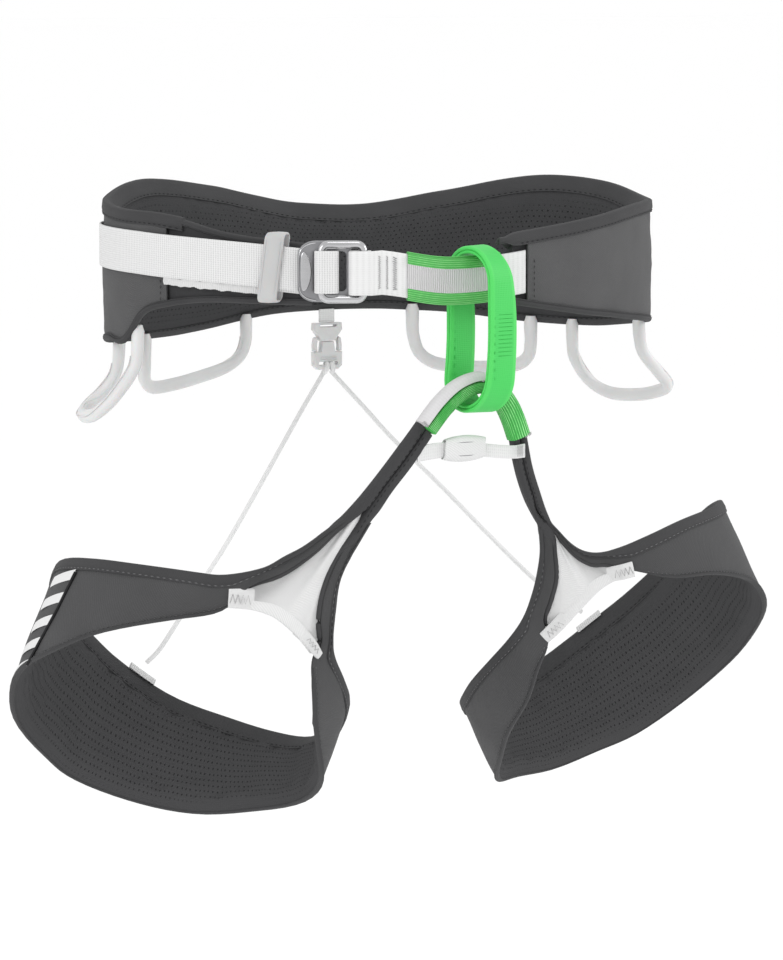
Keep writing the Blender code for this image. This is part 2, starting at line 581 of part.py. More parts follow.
def gusset(name, side, rows, arc, inner_rows, carrier):
    """Triangular stretch panel between the two branches of the stem and the thigh hole."""
    boundary = [row[2:] for row in rows[inner_rows[1]:]] + [row[2:] for row in rows[:inner_rows[0]]]
    turns = [(a if a < -300 else a - 360, h) for a, h in boundary]
    count = 23
    edge = row_curve(turns, count)
    hole = row_curve(arc, count)
    scale = np.array([math.radians(1) * THIGH_RADIUS, 1.0])
    rings = []
    for top, low in zip(edge, hole):
        step = (low - top) * scale
        reach = np.linalg.norm(step)
        start = top + step / reach / scale * .0022
        line = [start + (low - start) * k for k in (0, .5, 1)]
        rings.append([thigh_point(side, a, h, .0030) for a, h in line]
                     + [thigh_point(side, a, h, .0042) for a, h in reversed(line)])
    return loft(name, rings, "light_gusset", carrier)


def riser_anchor(name, side, angle, rows, carrier):
    """Small webbing tab on the back edge of a leg loop that holds the riser cord."""
    knots = sorted((row[0], row[1]) for row in rows)
    rings = []
    for a in (angle - 5.5, angle, angle + 5.5):
        h = curve_at(knots, a)[0]
        rings.append([thigh_point(side, a, h + dh, depth) for dh, depth in
                      ((.0010, .0064), (.0010, .0020), (.0058, .0026), (.0058, .0058))])
    return loft(name, rings, "white_webbing", carrier)


def leg_loop(label, side, control, stem, arc, inner_rows, carrier):
    """All the layers of one leg loop."""
    rows = row_curve(control, 52)
    first = int(round(5.2 / (len(control) - 1) * 51))
    last = int(round((inner_rows[1] - .5) / (len(control) - 1) * 51))
    hole_rows = rows[first:last + 1]
    leg_layer(label + "_foam_pad", side, rows, LEG_FOAM, (EDGE_COVER, EDGE_COVER), "foam", carrier)
    leg_layer(label + "_outer_shell", side, rows, LEG_SHELL, (EDGE_COVER, EDGE_COVER), "outer_fabric", carrier)
    leg_layer(label + "_mesh_liner", side, rows, LEG_LINER, (EDGE_COVER, EDGE_COVER), "liner_mesh", carrier)
    leg_binding(label + "_upper_binding", side, rows, True, carrier)
    leg_binding(label + "_hole_binding", side, hole_rows, False, carrier)
    leg_stem(label + "_stem", side, stem, carrier)
    gusset(label + "_gusset", side, control, arc, inner_rows, carrier)
    riser_anchor(label + "_riser_anchor", side, TAB_ANGLES[label.split("_")[0]], control, carrier)


# ---- gear loops and rear riser --------------------------------------------------------------------

def gear_path(first, last, drop, flare):
    """Route of a gear loop: down from the belt, out, across and back up."""
    tops = []
    for a in (first, last):
        tops.append(belt_point(a, GEAR_DEPTH, curve_at(BELT_BOTTOM, a)[0] - GEAR_TUBE / 2 - .0006))
    outs = [(belt_point(a, -.01, 0) - belt_point(a, 0, 0)).normalized() for a in (first, last)]
    low = Vector((0, 0, -drop))
    knots = []
    for share, sink, out in ((0, 0, 0), (.01, .38, .10), (.07, .76, .62), (.20, .97, .98), (.42, 1.0, 1.0),
                             (.64, .95, .98), (.86, .84, .86), (.97, .62, .48), (1.0, .32, .10), (1, 0, 0)):
        base = tops[0].lerp(tops[1], share)
        bow = (belt_point(first + (last - first) * share, GEAR_DEPTH, base.z) - base) * .8
        knots.append(base + bow + outs[0].lerp(outs[1], share) * flare * out + low * sink)
    return [Vector(p) for p in row_curve(knots, 26)]


def gear_loop(name, size, carrier):
    path = gear_path(*size)
    for end, nearby in ((0, 1), (-1, -2)):
        path[end] = path[end] + (path[nearby] - path[end]) * .02
    middle = (path[0] + path[-1]) / 2
    out = Vector((middle.x, middle.y, 0)).normalized()
    rings = round_rings(path, GEAR_TUBE / 2, GEAR_TUBE / 2, 8, up=out)
    loft(name, rings, "grey_plastic", carrier)


def box(name, low, high, finish, carrier):
    bm = bmesh.new()
    bmesh.ops.create_cube(bm, size=1.0)
    low, high = Vector(low), Vector(high)
    bm.transform(Matrix.Translation((low + high) / 2) @ Matrix.Diagonal((*(high - low), 1)))
    return add(name, bm, finish, carrier)


def riser_clip(root, prongs):
    """Side-release clip: upper socket on the belt's tab, lower plug with two sprung prongs."""
    x, y = RISER_X, RISER_Y
    box("riser_tab", (x - .0048, y - .0007, -.0366), (x + .0048, y + .0007, -.0313), "light_gusset", root)
    socket = [(-.0083, -.0369), (.0083, -.0369), (.0086, -.0406), (.0060, -.0441), (.0044, -.0468),
              (-.0044, -.0468), (-.0060, -.0441), (-.0086, -.0406)]
    rings = [[Vector((x + u, y + dy, z)) for u, z in socket] for dy in (-.0026, .0026)]
    loft("riser_clip_socket", rings, "grey_plastic", root)
    plug = [(-.0086, -.0529), (-.0042, -.0529), (-.0036, -.0473), (.0036, -.0473), (.0042, -.0529),
            (.0086, -.0529), (.0084, -.0606), (.0060, -.0628), (-.0060, -.0628), (-.0084, -.0606)]
    rings = [[Vector((x + u, y + dy, z)) for u, z in plug] for dy in (-.0026, .0026)]
    loft("riser_clip_plug", rings, "grey_plastic", root)
    for name, side in (("riser_prong_right", -1), ("riser_prong_left", 1)):
        shape = [(.0063, -.0525), (.0085, -.0525), (.0087, -.0491), (.0080, -.0454), (.0068, -.0446),
                 (.0062, -.0466), (.0066, -.0496)]
        rings = [[Vector((x + side * u, y + dy, z)) for u, z in shape] for dy in (-.0018, .0018)]
        loft(name, rings, "grey_plastic", prongs[name])


def cord(name, route, carrier):
    """Elastic riser cord as a round tube along a smooth route."""
    points = row_curve(route, 34)
    curve = bpy.data.curves.new(name, "CURVE")
    curve.dimensions = "3D"
    curve.bevel_depth = CORD_DIAMETER / 2
    curve.bevel_resolution = 2
    curve.render_resolution_u = 0
    curve.use_fill_caps = True
    line = curve.splines.new("POLY")
    line.points.add(len(points) - 1)
    for spot, place in zip(line.points, points):
        spot.co = (*(Vector(place) - carrier.location), 1.0)
    curve.materials.append(material("cord_fabric"))
    piece = bpy.data.objects.new(name, curve)
    piece.parent = carrier
    bpy.context.collection.objects.link(piece)


def build():
    for old in list(bpy.data.objects):
        bpy.data.objects.remove(old, do_unlink=True)
    root = body("waist_belt", (0, 0, 0))
    ring_body = body("buckle_ring", buckle_point(BAR_RIGHT, FRAME_N))
    keeper_body = body("strap_keeper", belt_point(KEEPER_ANGLE, 0, .0076))
    belay_body = body("belay_loop", BELAY_CENTRE)
    slider_body = body("cross_strap_slider", (SLIDER_X, STRAP_Y, -.0866))
    legs = {"right": body("leg_loop_right", (-.0309, -.0970, -.0774)),
            "left": body("leg_loop_left", (.0252, -.0970, -.0849))}
    prongs = {"riser_prong_right": body("riser_prong_right", (RISER_X - .0074, RISER_Y, -.0525)),
              "riser_prong_left": body("riser_prong_left", (RISER_X + .0074, RISER_Y, -.0525))}

    waist_pad(root)
    adjustment_strap(root)
    tie_in_webbing(root)
    upper_protector(root)
    buckle_plate(root)
    buckle_ring(ring_body)
    strap_roll(ring_body)
    strap_keeper(keeper_body)
    belay_loop(belay_body)
    lower_tie_in(root)
    cross_strap(root)
    cross_slider(slider_body)
    leg_loop("right_leg", -1, LEG_RIGHT_ROWS, STEM_RIGHT_ROWS, GUSSET_RIGHT_ARC, (5, 21), legs["right"])
    leg_loop("left_leg", 1, LEG_LEFT_ROWS, STEM_LEFT_ROWS, GUSSET_LEFT_ARC, (5, 22), legs["left"])
    for label, size in GEAR_LOOPS.items():
        first = gear_path(*size)[0]
        gear_loop("gear_loop_" + label, size, body("gear_loop_" + label, first))
    riser_clip(root, prongs)
    cord("riser_cord_right", CORD_RIGHT, root)
    cord("riser_cord_left", CORD_LEFT, root)


build()
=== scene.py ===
"""Looks of a climbing harness: padded fabric, webbing, stitching, metal and plastic."""
import math

import bmesh
import bpy
import numpy as np
from mathutils import Matrix, Vector, noise


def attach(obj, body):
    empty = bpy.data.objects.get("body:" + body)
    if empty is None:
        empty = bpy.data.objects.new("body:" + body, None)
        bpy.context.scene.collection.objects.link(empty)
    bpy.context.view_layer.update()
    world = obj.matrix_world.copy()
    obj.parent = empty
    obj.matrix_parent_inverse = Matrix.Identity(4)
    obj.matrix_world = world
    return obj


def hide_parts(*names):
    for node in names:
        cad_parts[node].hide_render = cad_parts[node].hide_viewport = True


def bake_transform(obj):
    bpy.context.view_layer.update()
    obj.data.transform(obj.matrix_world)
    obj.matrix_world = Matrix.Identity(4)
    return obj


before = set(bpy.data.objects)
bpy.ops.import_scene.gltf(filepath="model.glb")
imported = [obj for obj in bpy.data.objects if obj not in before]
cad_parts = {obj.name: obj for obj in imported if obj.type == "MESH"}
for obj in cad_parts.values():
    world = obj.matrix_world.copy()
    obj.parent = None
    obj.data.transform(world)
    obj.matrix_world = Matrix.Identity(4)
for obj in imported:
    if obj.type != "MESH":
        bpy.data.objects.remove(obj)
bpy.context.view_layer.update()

UP, RIGHT, AWAY = Vector((0, 0, 1)), Vector((1, 0, 0)), Vector((0, 1, 0))
BELT, LEGS = "waist_belt", {-1: "leg_loop_right", 1: "leg_loop_left"}
SIDE_NAMES = {-1: "right", 1: "left"}
CAMERA_AZIMUTH, CAMERA_ELEVATION, CAMERA_DISTANCE, CAMERA_LENS = -27.0, 7.0, 2.2, 154.3
FLOOR_Z, FLOOR_HALF = -0.9, 90.0

# Waist ring: outer curve x = -A sin a, y = C sin^2 a - B cos a, angles as on the frame
RING_A, RING_B, RING_C = 0.1562, 0.098, 0.012
BELT_TOP = [(33, .0200), (50, .0250), (66, .0330), (85, .0352), (112, .0400), (134, .0462), (156, .0405),
            (176, .0300), (192, .0285), (208, .0345), (232, .0432), (255, .0412), (275, .0352),
            (312, .0335), (330, .0290), (352, .0232)]
BELT_BOTTOM = [(33, -.0120), (66, -.0138), (75, -.0190), (83, -.0335), (94, -.0340), (112, -.0380),
               (134, -.0400), (152, -.0380), (170, -.0315), (186, -.0300), (208, -.0325), (230, -.0385),
               (248, -.0400), (275, -.0360), (300, -.0310), (320, -.0260), (338, -.0200), (352, -.0140)]
TONGUE_END, SHELL_RIGHT, SHELL_LEFT, PAD_LEFT = 33.0, 66.9, 348.7, 352.0
SHELL_IN, LINER_OUT, LINER_IN = 0.0019, 0.0035, 0.0096
TONGUE_DEPTH = 0.0024
FLAP_OUT, FLAP_IN, TAPE_WALL = 0.0072, 0.0090, 0.0008

# Straps and buckle
STRAP_MID = [(33, .0058), (43, .0083), (62, .0116), (95, .0145), (128, .0150)]
WEB, WEB_WIDTH, GAP = 0.0013, 0.022, 0.0003
STRAP_START, LOAD_START, STRAP_END = 32.4, 65.9, 128.0
BUCKLE_ANGLE, BUCKLE_Z, ROD, FRAME_HEIGHT, FRAME_N = 29.0, 0.0058, 0.0040, 0.0316, 0.0099
BAR_LEFT, BAR_RIGHT, PLATE_LEFT, PLATE_RIGHT = -0.0061, 0.0151, -0.0178, 0.0066
PLATE_HEIGHT, PLATE_N, PLATE_THICK = 0.031, 0.0047, 0.0020
KEEPER_ANGLE, KEEPER_WIDTH = 41.0, 0.011
TIE_START, TIE_JOIN, TIE_DEPTH, TIE_RISE = 349.1, 380.0, 0.0027, 0.0105
TIE_MID, TIE_SAG, TIE_AT_BUCKLE, TIE_WIDTH = 0.0026, 0.0030, 0.0052, 0.0224
PROTECTOR, PROTECTOR_HALF = (355.0, 375.0), 0.0115

# Belay loop and lower tie-in arch
BELAY_TURN, BELAY_THICK, BELAY_WIDTH = 10.0, 0.0040, 0.0168
BELAY_HEIGHT, BELAY_DEPTH, BELAY_CENTRE = 0.0895, 0.038, Vector((0.0, -0.0975, -0.0255))
ARCH_Y = -0.0975
ARCH_EDGE = [(-.0345, -.0710), (-.0245, -.0597), (-.0130, -.0510), (.0, -.0474), (.0110, -.0508),
             (.0200, -.0606), (.0252, -.0700), (.0290, -.0800)]
STRAP_Y, SLIDER_X, SLIDER_Z = -0.0970, -0.0080, -0.0866

# Leg loops: rows of (upper edge angle, height, hole edge angle, height) on a tilted thigh cylinder
THIGH_CENTRE, THIGH_TILT, THIGH_LEAN, THIGH_RADIUS = (0.130, -0.010, -0.216), 25.0, 5.0, 0.087
LEG_ROWS = {
    -1: [(-23, .109, -19.4, .107), (-20, .088, -15, .0855), (-19, .075, -14.6, .066),
         (-22, .060, -17, .052), (-26, .046, -21, .042), (-31, .038, -20, .031),
         (-42, .031, -26, .017), (-57, .024, -36, -.001), (-76, .013, -52, -.015),
         (-96, .005, -80, -.028), (-116, .003, -110, -.040), (-135, .003, -135, -.052),
         (-158, .004, -158, -.057), (-182, .012, -182, -.057), (-200, .020, -198, -.051),
         (-235, .032, -228, -.038), (-262, .040, -258, -.023), (-288, .043, -282, -.010),
         (-308, .046, -302, .006), (-328, .051, -326, .024), (-338, .055, -341, .037),
         (-349, .065, -347, .053), (-355, .075, -357, .067), (-360, .083, -365, .083),
         (-365.3, .0935, -370, .0962), (-371.2, .1048, -374.4, .106)],
    1: [(-30, .104, -26, .099), (-33, .092, -29, .087), (-37, .082, -32, .075),
        (-42, .072, -37, .065), (-49, .061, -42, .056), (-58, .052, -44, .043),
        (-71, .042, -52, .031), (-86, .031, -62, .015), (-99, .021, -78, -.002),
        (-113, .012, -95, -.022), (-130, .002, -118, -.041), (-148, -.005, -142, -.054),
        (-166, -.008, -164, -.067), (-184, -.008, -184, -.073), (-203, -.003, -203, -.075),
        (-222, .005, -226, -.067), (-245, .020, -250, -.052), (-268, .040, -270, -.034),
        (-290, .051, -292, -.012), (-312, .058, -308, .008), (-336, .067, -332, .030),
        (-352, .071, -352, .044), (-366, .074, -366, .0592), (-374, .077, -373, .069),
        (-379, .082, -378, .073), (-382, .089, -382, .081), (-384, .098, -384, .090),
        (-386, .107, -386, .100)]}
THIGH_SCALE = np.array([math.radians(1) * THIGH_RADIUS, 1.0])
THIGH_SWELL = {-1: [(-390, 0), (-300, 0), (-270, -.0020), (-240, -.0048), (-212, -.0015), (-180, 0), (0, 0)],
               1: [(-390, 0), (-335, .0005), (-300, .0035), (-270, .0030), (-230, 0), (-180, 0), (0, 0)]}
HOLE_ROWS = {-1: (5, 21), 1: (5, 22)}
GUSSET_ARC = {-1: [(-343, .040), (-350, .043), (-359, .044), (-368, .041), (-374, .038), (-379, .035)],
              1: [(-367, .057), (-373, .059), (-380, .058), (-387, .054), (-395, .049), (-402, .045)]}
# Stem: rows of its outer and inner edge going down, each band's (share, grow, depth, thickness) on its arm,
# and the (across, deep) outline of a band
STEM_ROWS = {-1: [((.0345, -.0970, -.0735), (.0267, -.0970, -.0816)),
                  ((.0435, -.0960, -.0855), (.0350, -.0950, -.0940)),
                  ((.0562, -.0940, -.1013), (.0472, -.0930, -.1092)),
                  ((.0627, -.0905, -.1113), (.0501, -.0875, -.1176))],
             1: [((.0302, -.0970, -.0840), (.0212, -.0970, -.0858)),
                 ((.0342, -.0950, -.0980), (.0248, -.0940, -.0990)),
                 ((.0420, -.0895, -.1130), (.0332, -.0885, -.1155)),
                 ((.0514, -.0810, -.1268), (.0446, -.0790, -.1296))]}
STEM_ENDS = {
    (-1, "outer"): ((0, .0002, -.0004, .0068), (.30, 0, .0002, .0060), (.75, -.0010, .0018, .0034)),
    (-1, "inner"): ((0, .0002, -.0002, .0067), (.45, .0001, .0001, .0060), (.95, -.0009, .0016, .0036)),
    (1, "outer"): ((.60, -.0006, .0010, .0048), (1.0, -.0016, .0024, .0026)),
    (1, "inner"): ((0, .0003, -.0002, .0066), (.30, .0001, .0002, .0060), (.75, -.0014, .0018, .0034))}
STEM_PROFILE = ((0, .50), (.03, .25), (.12, .08), (.30, 0), (.52, -.03), (.74, .01), (.88, .08), (.97, .20),
                (1, .36), (1, .75), (.92, .94), (.55, 1.0), (.12, .94), (.03, .76))
GUSSET_TIPS = {(-1, "front"): (.0108, .0092), (-1, "inner"): (.0066, .0044),
               (1, "front"): (.0078, .0080), (1, "inner"): (.0074, .0066)}
GUSSET_RISE = {-1: .0090, 1: .0020}
STEM_THICK = 0.0062
LEG_SHELL_IN, LEG_LINER_IN = 0.0019, 0.0074
SIDE_SEAM = [(-282, .034), (-278.5, .010), (-272, -.018)]
STITCH_PITCH = 0.0033
TAB_ANGLES = {-1: -171.0, 1: -203.0}

GEAR_LOOPS = {"front_right": (80, 116, .0370, .0200), "rear_right": (132, 163.5, .0245, .0060),
              "rear_left": (202.0, 231.8, .0255, .0060), "front_left": (245, 283, .0370, .0245)}
GEAR_TUBE, GEAR_DEPTH = 0.0070, 0.0054
RISER_X, RISER_Y, CORD_DIAMETER = 0.0073, 0.0935, 0.0026
CORDS = {-1: [(.0054, .0935, -.0646), (-.0099, .0919, -.0862), (-.0331, .0883, -.1196),
              (-.0565, .0840, -.1520), (-.0710, .0813, -.1701), (-.0909, .0774, -.1947),
              (-.1027, .0752, -.2088), (-.1112, .0733, -.2153)],
         1: [(.0106, .0935, -.0646), (.0299, .0913, -.0853), (.0467, .0885, -.1038),
             (.0734, .0840, -.1301), (.1022, .0782, -.1601), (.1277, .0728, -.1856),
             (.1431, .0704, -.1978), (.1563, .0681, -.2058)]}


# ---- materials ------------------------------------------------------------------------------------

class Value:
    """A number or colour of a shader; reckoning with it makes Math nodes."""

    def __init__(self, look, socket):
        self.look, self.socket = look, socket

    def __add__(self, other):
        return self.look.math("ADD", self, other)

    def __sub__(self, other):
        return self.look.math("SUBTRACT", self, other)

    def __rsub__(self, other):
        return self.look.math("SUBTRACT", other, self)

    def __mul__(self, other):
        return self.look.math("MULTIPLY", self, other)

    def __truediv__(self, other):
        return self.look.math("DIVIDE", self, other)

    def times(self, factor, plus):
        return self.look.math("MULTIPLY_ADD", self, factor, plus)


class Look:
    """A Principled material put together from short node calls."""

    def __init__(self, name, rough, metal=0.0, **sockets):
        self.material = bpy.data.materials.new(name)
        self.material.use_nodes = True
        self.tree = self.material.node_tree
        self.shader = self.tree.nodes["Principled BSDF"]
        for socket, value in dict(Roughness=rough, Metallic=metal, **sockets).items():
            self.shader.inputs[socket.replace("_", " ")].default_value = value

    def put(self, socket, value):
        if isinstance(value, Value):
            self.tree.links.new(value.socket, socket)
        else:
            socket.default_value = value

    def node(self, kind, **inputs):
        node = self.tree.nodes.new("ShaderNode" + kind)
        for socket, value in inputs.items():
            self.put(node.inputs[socket.replace("_", " ")], value)
        return node

    def math(self, kind, *values):
        node = self.node("Math")
        node.operation = kind
        for socket, value in zip(node.inputs, values):
            self.put(socket, value)
        return Value(self, node.outputs[0])

    def uv(self, layer="metres"):
        node, split = self.node("UVMap"), self.node("SeparateXYZ")
        node.uv_map = layer
        self.tree.links.new(node.outputs[0], split.inputs[0])
        return [Value(self, socket) for socket in split.outputs[:2]]

    def wave(self, value, pitch):
        """A wave from 0 to 1 that repeats every pitch metres."""
        return self.math("SINE", value.times(2 * math.pi / pitch, 0)).times(.5, .5)

    def noise(self, scale, detail=2.0, stretch=None):
        place = Value(self, self.node("TexCoord").outputs["Object"])
        if stretch:
            place = Value(self, self.node("Mapping", Vector=place, Scale=stretch).outputs[0])
        return Value(self, self.node("TexNoise", Scale=scale, Detail=detail, Vector=place).outputs[0])

    def step(self, value, low, high):
        """Smooth step of value from low to high."""
        node = self.node("MapRange", Value=value, From_Min=low, From_Max=high)
        node.interpolation_type = "SMOOTHSTEP"
        return Value(self, node.outputs[0])

    def mix(self, share, one, two):
        node = self.node("Mix")
        node.data_type = "RGBA"
        for k, value in ((0, share), (6, one), (7, two)):
            self.put(node.inputs[k], (*value, 1.0) if isinstance(value, tuple) else value)
        return Value(self, node.outputs[2])

    def done(self, colour, height, depth, rough=None):
        """The material, with its colour, its relief and an uneven roughness on the shader."""
        self.put(self.shader.inputs["Base Color"], colour)
        if rough:
            self.put(self.shader.inputs["Roughness"], rough)
        bump = self.node("Bump", Distance=depth, Strength=1.0, Height=height)
        self.tree.links.new(bump.outputs[0], self.shader.inputs["Normal"])
        return self.material


def shade(colour, factor):
    return tuple(min(1.0, c * factor) for c in colour)


def woven(name, colour, pitch, depth, contrast=.75, rough=.85, fuzz=.25, **sockets):
    """Plain weave over the piece's own metres, with uneven dye and fine fuzz."""
    look = Look(name, rough, Specular_IOR_Level=.12, **sockets)
    u, v = look.uv()
    warp, weft = look.wave(u, pitch), look.wave(v, pitch)
    weave = warp * weft + (1.0 - warp) * (1.0 - weft)
    dye, grain = look.noise(28.0, 3.0), look.noise(900.0)
    tone = look.mix(weave, shade(colour, contrast), colour)
    colour = look.mix(look.step(dye, .30, .74), look.mix(.7, tone, shade(colour, .72)), tone)
    return look.done(colour, grain.times(fuzz, weave), depth, grain.times(.12, rough - .06))


def thread(name, colour):
    return woven(name, colour, .0004, .00004, rough=.6)


def perforated(name, colour, hole_colour, pitch, radius):
    """Soft mesh over foam with staggered rows of punched holes, solid near the edges."""
    look = Look(name, .92, Specular_IOR_Level=.10)
    u, v = look.uv()
    across = look.uv("share")[1]
    row = v / (pitch * .8)
    shift = look.math("FLOORED_MODULO", look.math("FLOOR", row), 2.0) * .5
    column = u / pitch + shift + look.noise(150.0, 1.0) * 1.1
    du = (look.math("FRACT", column) - .5) * pitch
    dv = (look.math("FRACT", row) - .5) * (pitch * .8)
    away = look.math("SQRT", look.math("POWER", du, 2.0) + look.math("POWER", dv, 2.0))
    inset = across + look.noise(14.0, 1.0).times(.30, -.15)
    field = look.step(inset, .10, .22) * (1.0 - look.step(inset, .84, .96))
    hole = (1.0 - look.step(away, radius * .55, radius * 1.15)) * field
    knit = look.wave(u, .0011) * look.wave(v, .0008)
    dye, grain = look.noise(35.0, 3.0), look.noise(1100.0)
    tone = look.mix(knit.times(.35, dye * .5), shade(colour, .8), colour)
    return look.done(look.mix(hole, tone, hole_colour), grain.times(.25, knit * .25) - hole * 1.6, .00030)


def webbing(name, colour, rib, depth, rim=None, cross=.0011, rough=.62, contrast=.72):
    """Woven tape: ribs across, finer yarns lengthwise and an optional rim colour at both edges."""
    look = Look(name, rough)
    u, v = look.uv()
    weave = look.wave(u, rib) * .6 + look.wave(v, cross) * .4
    body = look.mix(look.step(weave, .1, .6), shade(colour, contrast), colour)
    body = look.mix(look.noise(60.0, 3.0) * .35, body, shade(colour, .9))
    if rim:
        edge = look.math("ABSOLUTE", look.uv("share")[1] - .5)
        body = look.mix(look.step(edge, .36, .47), body, rim)
    return look.done(body, look.noise(1200.0).times(.2, weave), depth)


def sleeve_webbing(name, green, white, rib):
    """Tubular protector: lengthwise ribbed green borders, a cross-ribbed white middle."""
    look = Look(name, .7)
    u, v = look.uv()
    border = look.step(look.math("ABSOLUTE", look.uv("share")[1] - .5), .262, .275)
    long_ribs = look.wave(v, rib)
    short_ribs = look.wave(look.noise(90.0).times(.0012, u), rib * .95)
    pale = look.step(long_ribs, .8, 1.0) * look.noise(220.0)
    green_yarn = look.mix(pale, look.mix(long_ribs, shade(green, .74), green), (.42, .80, .38))
    white_yarn = look.mix(short_ribs, shade(white, .70), white)
    height = border * long_ribs + (1.0 - border) * short_ribs
    return look.done(look.mix(border, white_yarn, green_yarn), height, .0004)


def ribbed(name, yarn, pale, rib):
    """Tubular webbing with fine ribs along it and pale yarns showing through."""
    look = Look(name, .7)
    u, v = look.uv()
    ribs = look.wave(v, rib)
    tone = look.mix(look.step(ribs, .15, .75), shade(yarn, .62), yarn)
    streak = look.step(ribs, .70, .98) * look.step(look.noise(150.0, 2.0, (1.0, 1.0, .3)), .38, .62)
    return look.done(look.mix(streak, tone, pale), look.wave(u, .0008).times(.25, ribs), .00035)


def moulded(name, colour, rough=.42):
    """Nylon moulding with a faint grain and a soft inner glow."""
    look = Look(name, rough, Subsurface_Weight=.12, Subsurface_Scale=.002, Specular_IOR_Level=.45)
    grain, cloud = look.noise(700.0, 3.0), look.noise(30.0)
    tone = look.mix(look.step(cloud, .3, .8), shade(colour, .93), colour)
    return look.done(tone, grain, .00006, grain.times(.2, rough - .1))


def metal(name, colour, rough, scratch, coarse=.00003):
    """Metal with fine drawn lines and painted reflections: noise patches darken its colour to stand in for
    reflections.
    """
    look = Look(name, rough, 1.0)
    lines, reflection_patches = look.noise(260.0, 4.0, (1.0, 1.0, 14.0)), look.noise(60.0, 4.0)
    # Painted reflections: the colour is darkened in noise patches to fake what polished metal reflects.
    tone = look.mix(look.step(reflection_patches, .4, .75), colour, shade(colour, .86))
    return look.done(tone, lines, coarse, lines.times(scratch, rough))


def stretch_panel(name, colour, line, depth):
    """Light stretch fabric with fine diagonal yarns."""
    look = Look(name, .82, Sheen_Weight=.15)
    u, v = look.uv()
    yarns = look.wave(v.times(1.6, u), line)
    tone = look.mix(yarns, shade(colour, .84), colour)
    colour = look.mix(look.step(look.noise(45.0, 3.0), .35, .75), tone, shade(colour, .90))
    return look.done(colour, look.noise(1000.0).times(.3, yarns), depth)


GREEN_RIM, GREEN_DARK = (.062, .575, .099), (.032, .440, .070)
WHITE = (.67, .67, .67)
FINISHES = {
    "shell": woven("shell_weave", (.106, .106, .108), .0013, .0002, .66, .78, Sheen_Weight=.04),
    "leg_shell": woven("leg_shell_weave", (.084, .084, .086), .0013, .0002, .66, .78, Sheen_Weight=.04),
    "lining": perforated("liner_perforated", (.054, .054, .056), (.020, .020, .021), .0030, .00038),
    "leg_lining": perforated("leg_liner_perforated", (.064, .064, .066), (.026, .026, .027), .0025, .00034),
    "binding": woven("binding_weave", (.061, .061, .063), .0010, .00014, rough=.80, Sheen_Weight=.04),
    "thread": thread("thread_dark", (.022, .022, .023)),
    "thread_mid": thread("thread_mid", (.17, .17, .173)),
    "thread_grey": thread("thread_grey", (.30, .30, .31)),
    "thread_pale": thread("thread_pale", (.42, .42, .42)),
    "thread_white": thread("thread_white", (.74, .74, .74)),
    "thread_green": thread("thread_green", GREEN_DARK),
    "strap": webbing("strap_weave", WHITE, .00125, .00022, contrast=.72),
    "tie_strap": webbing("tie_in_weave", (.68, .68, .68), .0030, .00010, contrast=.90),
    "belay": webbing("belay_weave", (.045, .54, .090), .0010, .00008, rim=GREEN_RIM, contrast=.93, rough=.55),
    "sleeve": sleeve_webbing("protector_weave", (.09, .52, .10), (.66, .65, .66), .00115),
    "guard": ribbed("guard_weave", (.06, .50, .08), (.36, .80, .34), .00105),
    "arch": webbing("arch_weave", (.60, .59, .60), .0016, .00004, contrast=.95),
    "elastic": webbing("elastic_weave", (.68, .68, .68), .0012, .00010, cross=.0016, contrast=.90),
    "gusset": stretch_panel("gusset_knit", (.69, .69, .69), .0011, .00012),
    "hem": stretch_panel("gusset_hem_knit", (.69, .69, .69), .0020, .00008),
    "plastic": moulded("light_nylon", (.64, .64, .64)),
    "clip": moulded("clip_nylon", (.64, .64, .64)),
    "keeper": moulded("keeper_rubber", (.47, .47, .47), .55),
    "plate": metal("satin_plate", (.27, .27, .28), .32, .16),
    "steel": metal("polished_rod", (.50, .50, .51), .14, .12, .00001),
    "cord": webbing("cord_braid", (.72, .72, .72), .0018, .00003, cross=.0014, contrast=.97),
}


# ---- shapes ---------------------------------------------------------------------------------------

def curve_at(knots, at):
    """A smooth value through rows of (place, value, ...), with the slopes of its neighbours."""
    rows = np.array(knots, float)
    places, values = rows[:, 0], rows[:, 1:]
    slopes = np.gradient(values, places, axis=0)
    i = int(np.clip(np.searchsorted(places, at) - 1, 0, len(places) - 2))
    span = places[i + 1] - places[i]
    t = (at - places[i]) / span
    near = (1 + 2 * t) * (1 - t) ** 2 * values[i] + t * t * (3 - 2 * t) * values[i + 1]
    bend = t * (1 - t) ** 2 * slopes[i] - t * t * (1 - t) * slopes[i + 1]
    return near + span * bend


def row_curve(rows, count):
    knots = [(i, *np.ravel(row)) for i, row in enumerate(rows)]
    return [curve_at(knots, at) for at in np.linspace(0, len(rows) - 1, count)]


def crown(t, sharp=.6):
    return max(0.0, math.sin(math.pi * t)) ** sharp


def ripple(place, size, amount):
    """Repeatable unevenness at a point, about as wide as size."""
    return (noise.noise(Vector(place) / size)) * amount


def finish_mesh(name, bm, finish, ride, nodes, angle=50):
    mesh = bpy.data.meshes.new(name)
    bmesh.ops.recalc_face_normals(bm, faces=bm.faces)
    bm.to_mesh(mesh)
    bm.free()
    mesh.materials.append(FINISHES[finish])
    mesh.shade_smooth()
    mesh.set_sharp_from_angle(angle=math.radians(angle))
    piece = bpy.data.objects.new(name, mesh)
    bpy.context.scene.collection.objects.link(piece)
    if ride:
        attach(piece, ride)
    if nodes:
        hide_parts(*nodes)
    return piece


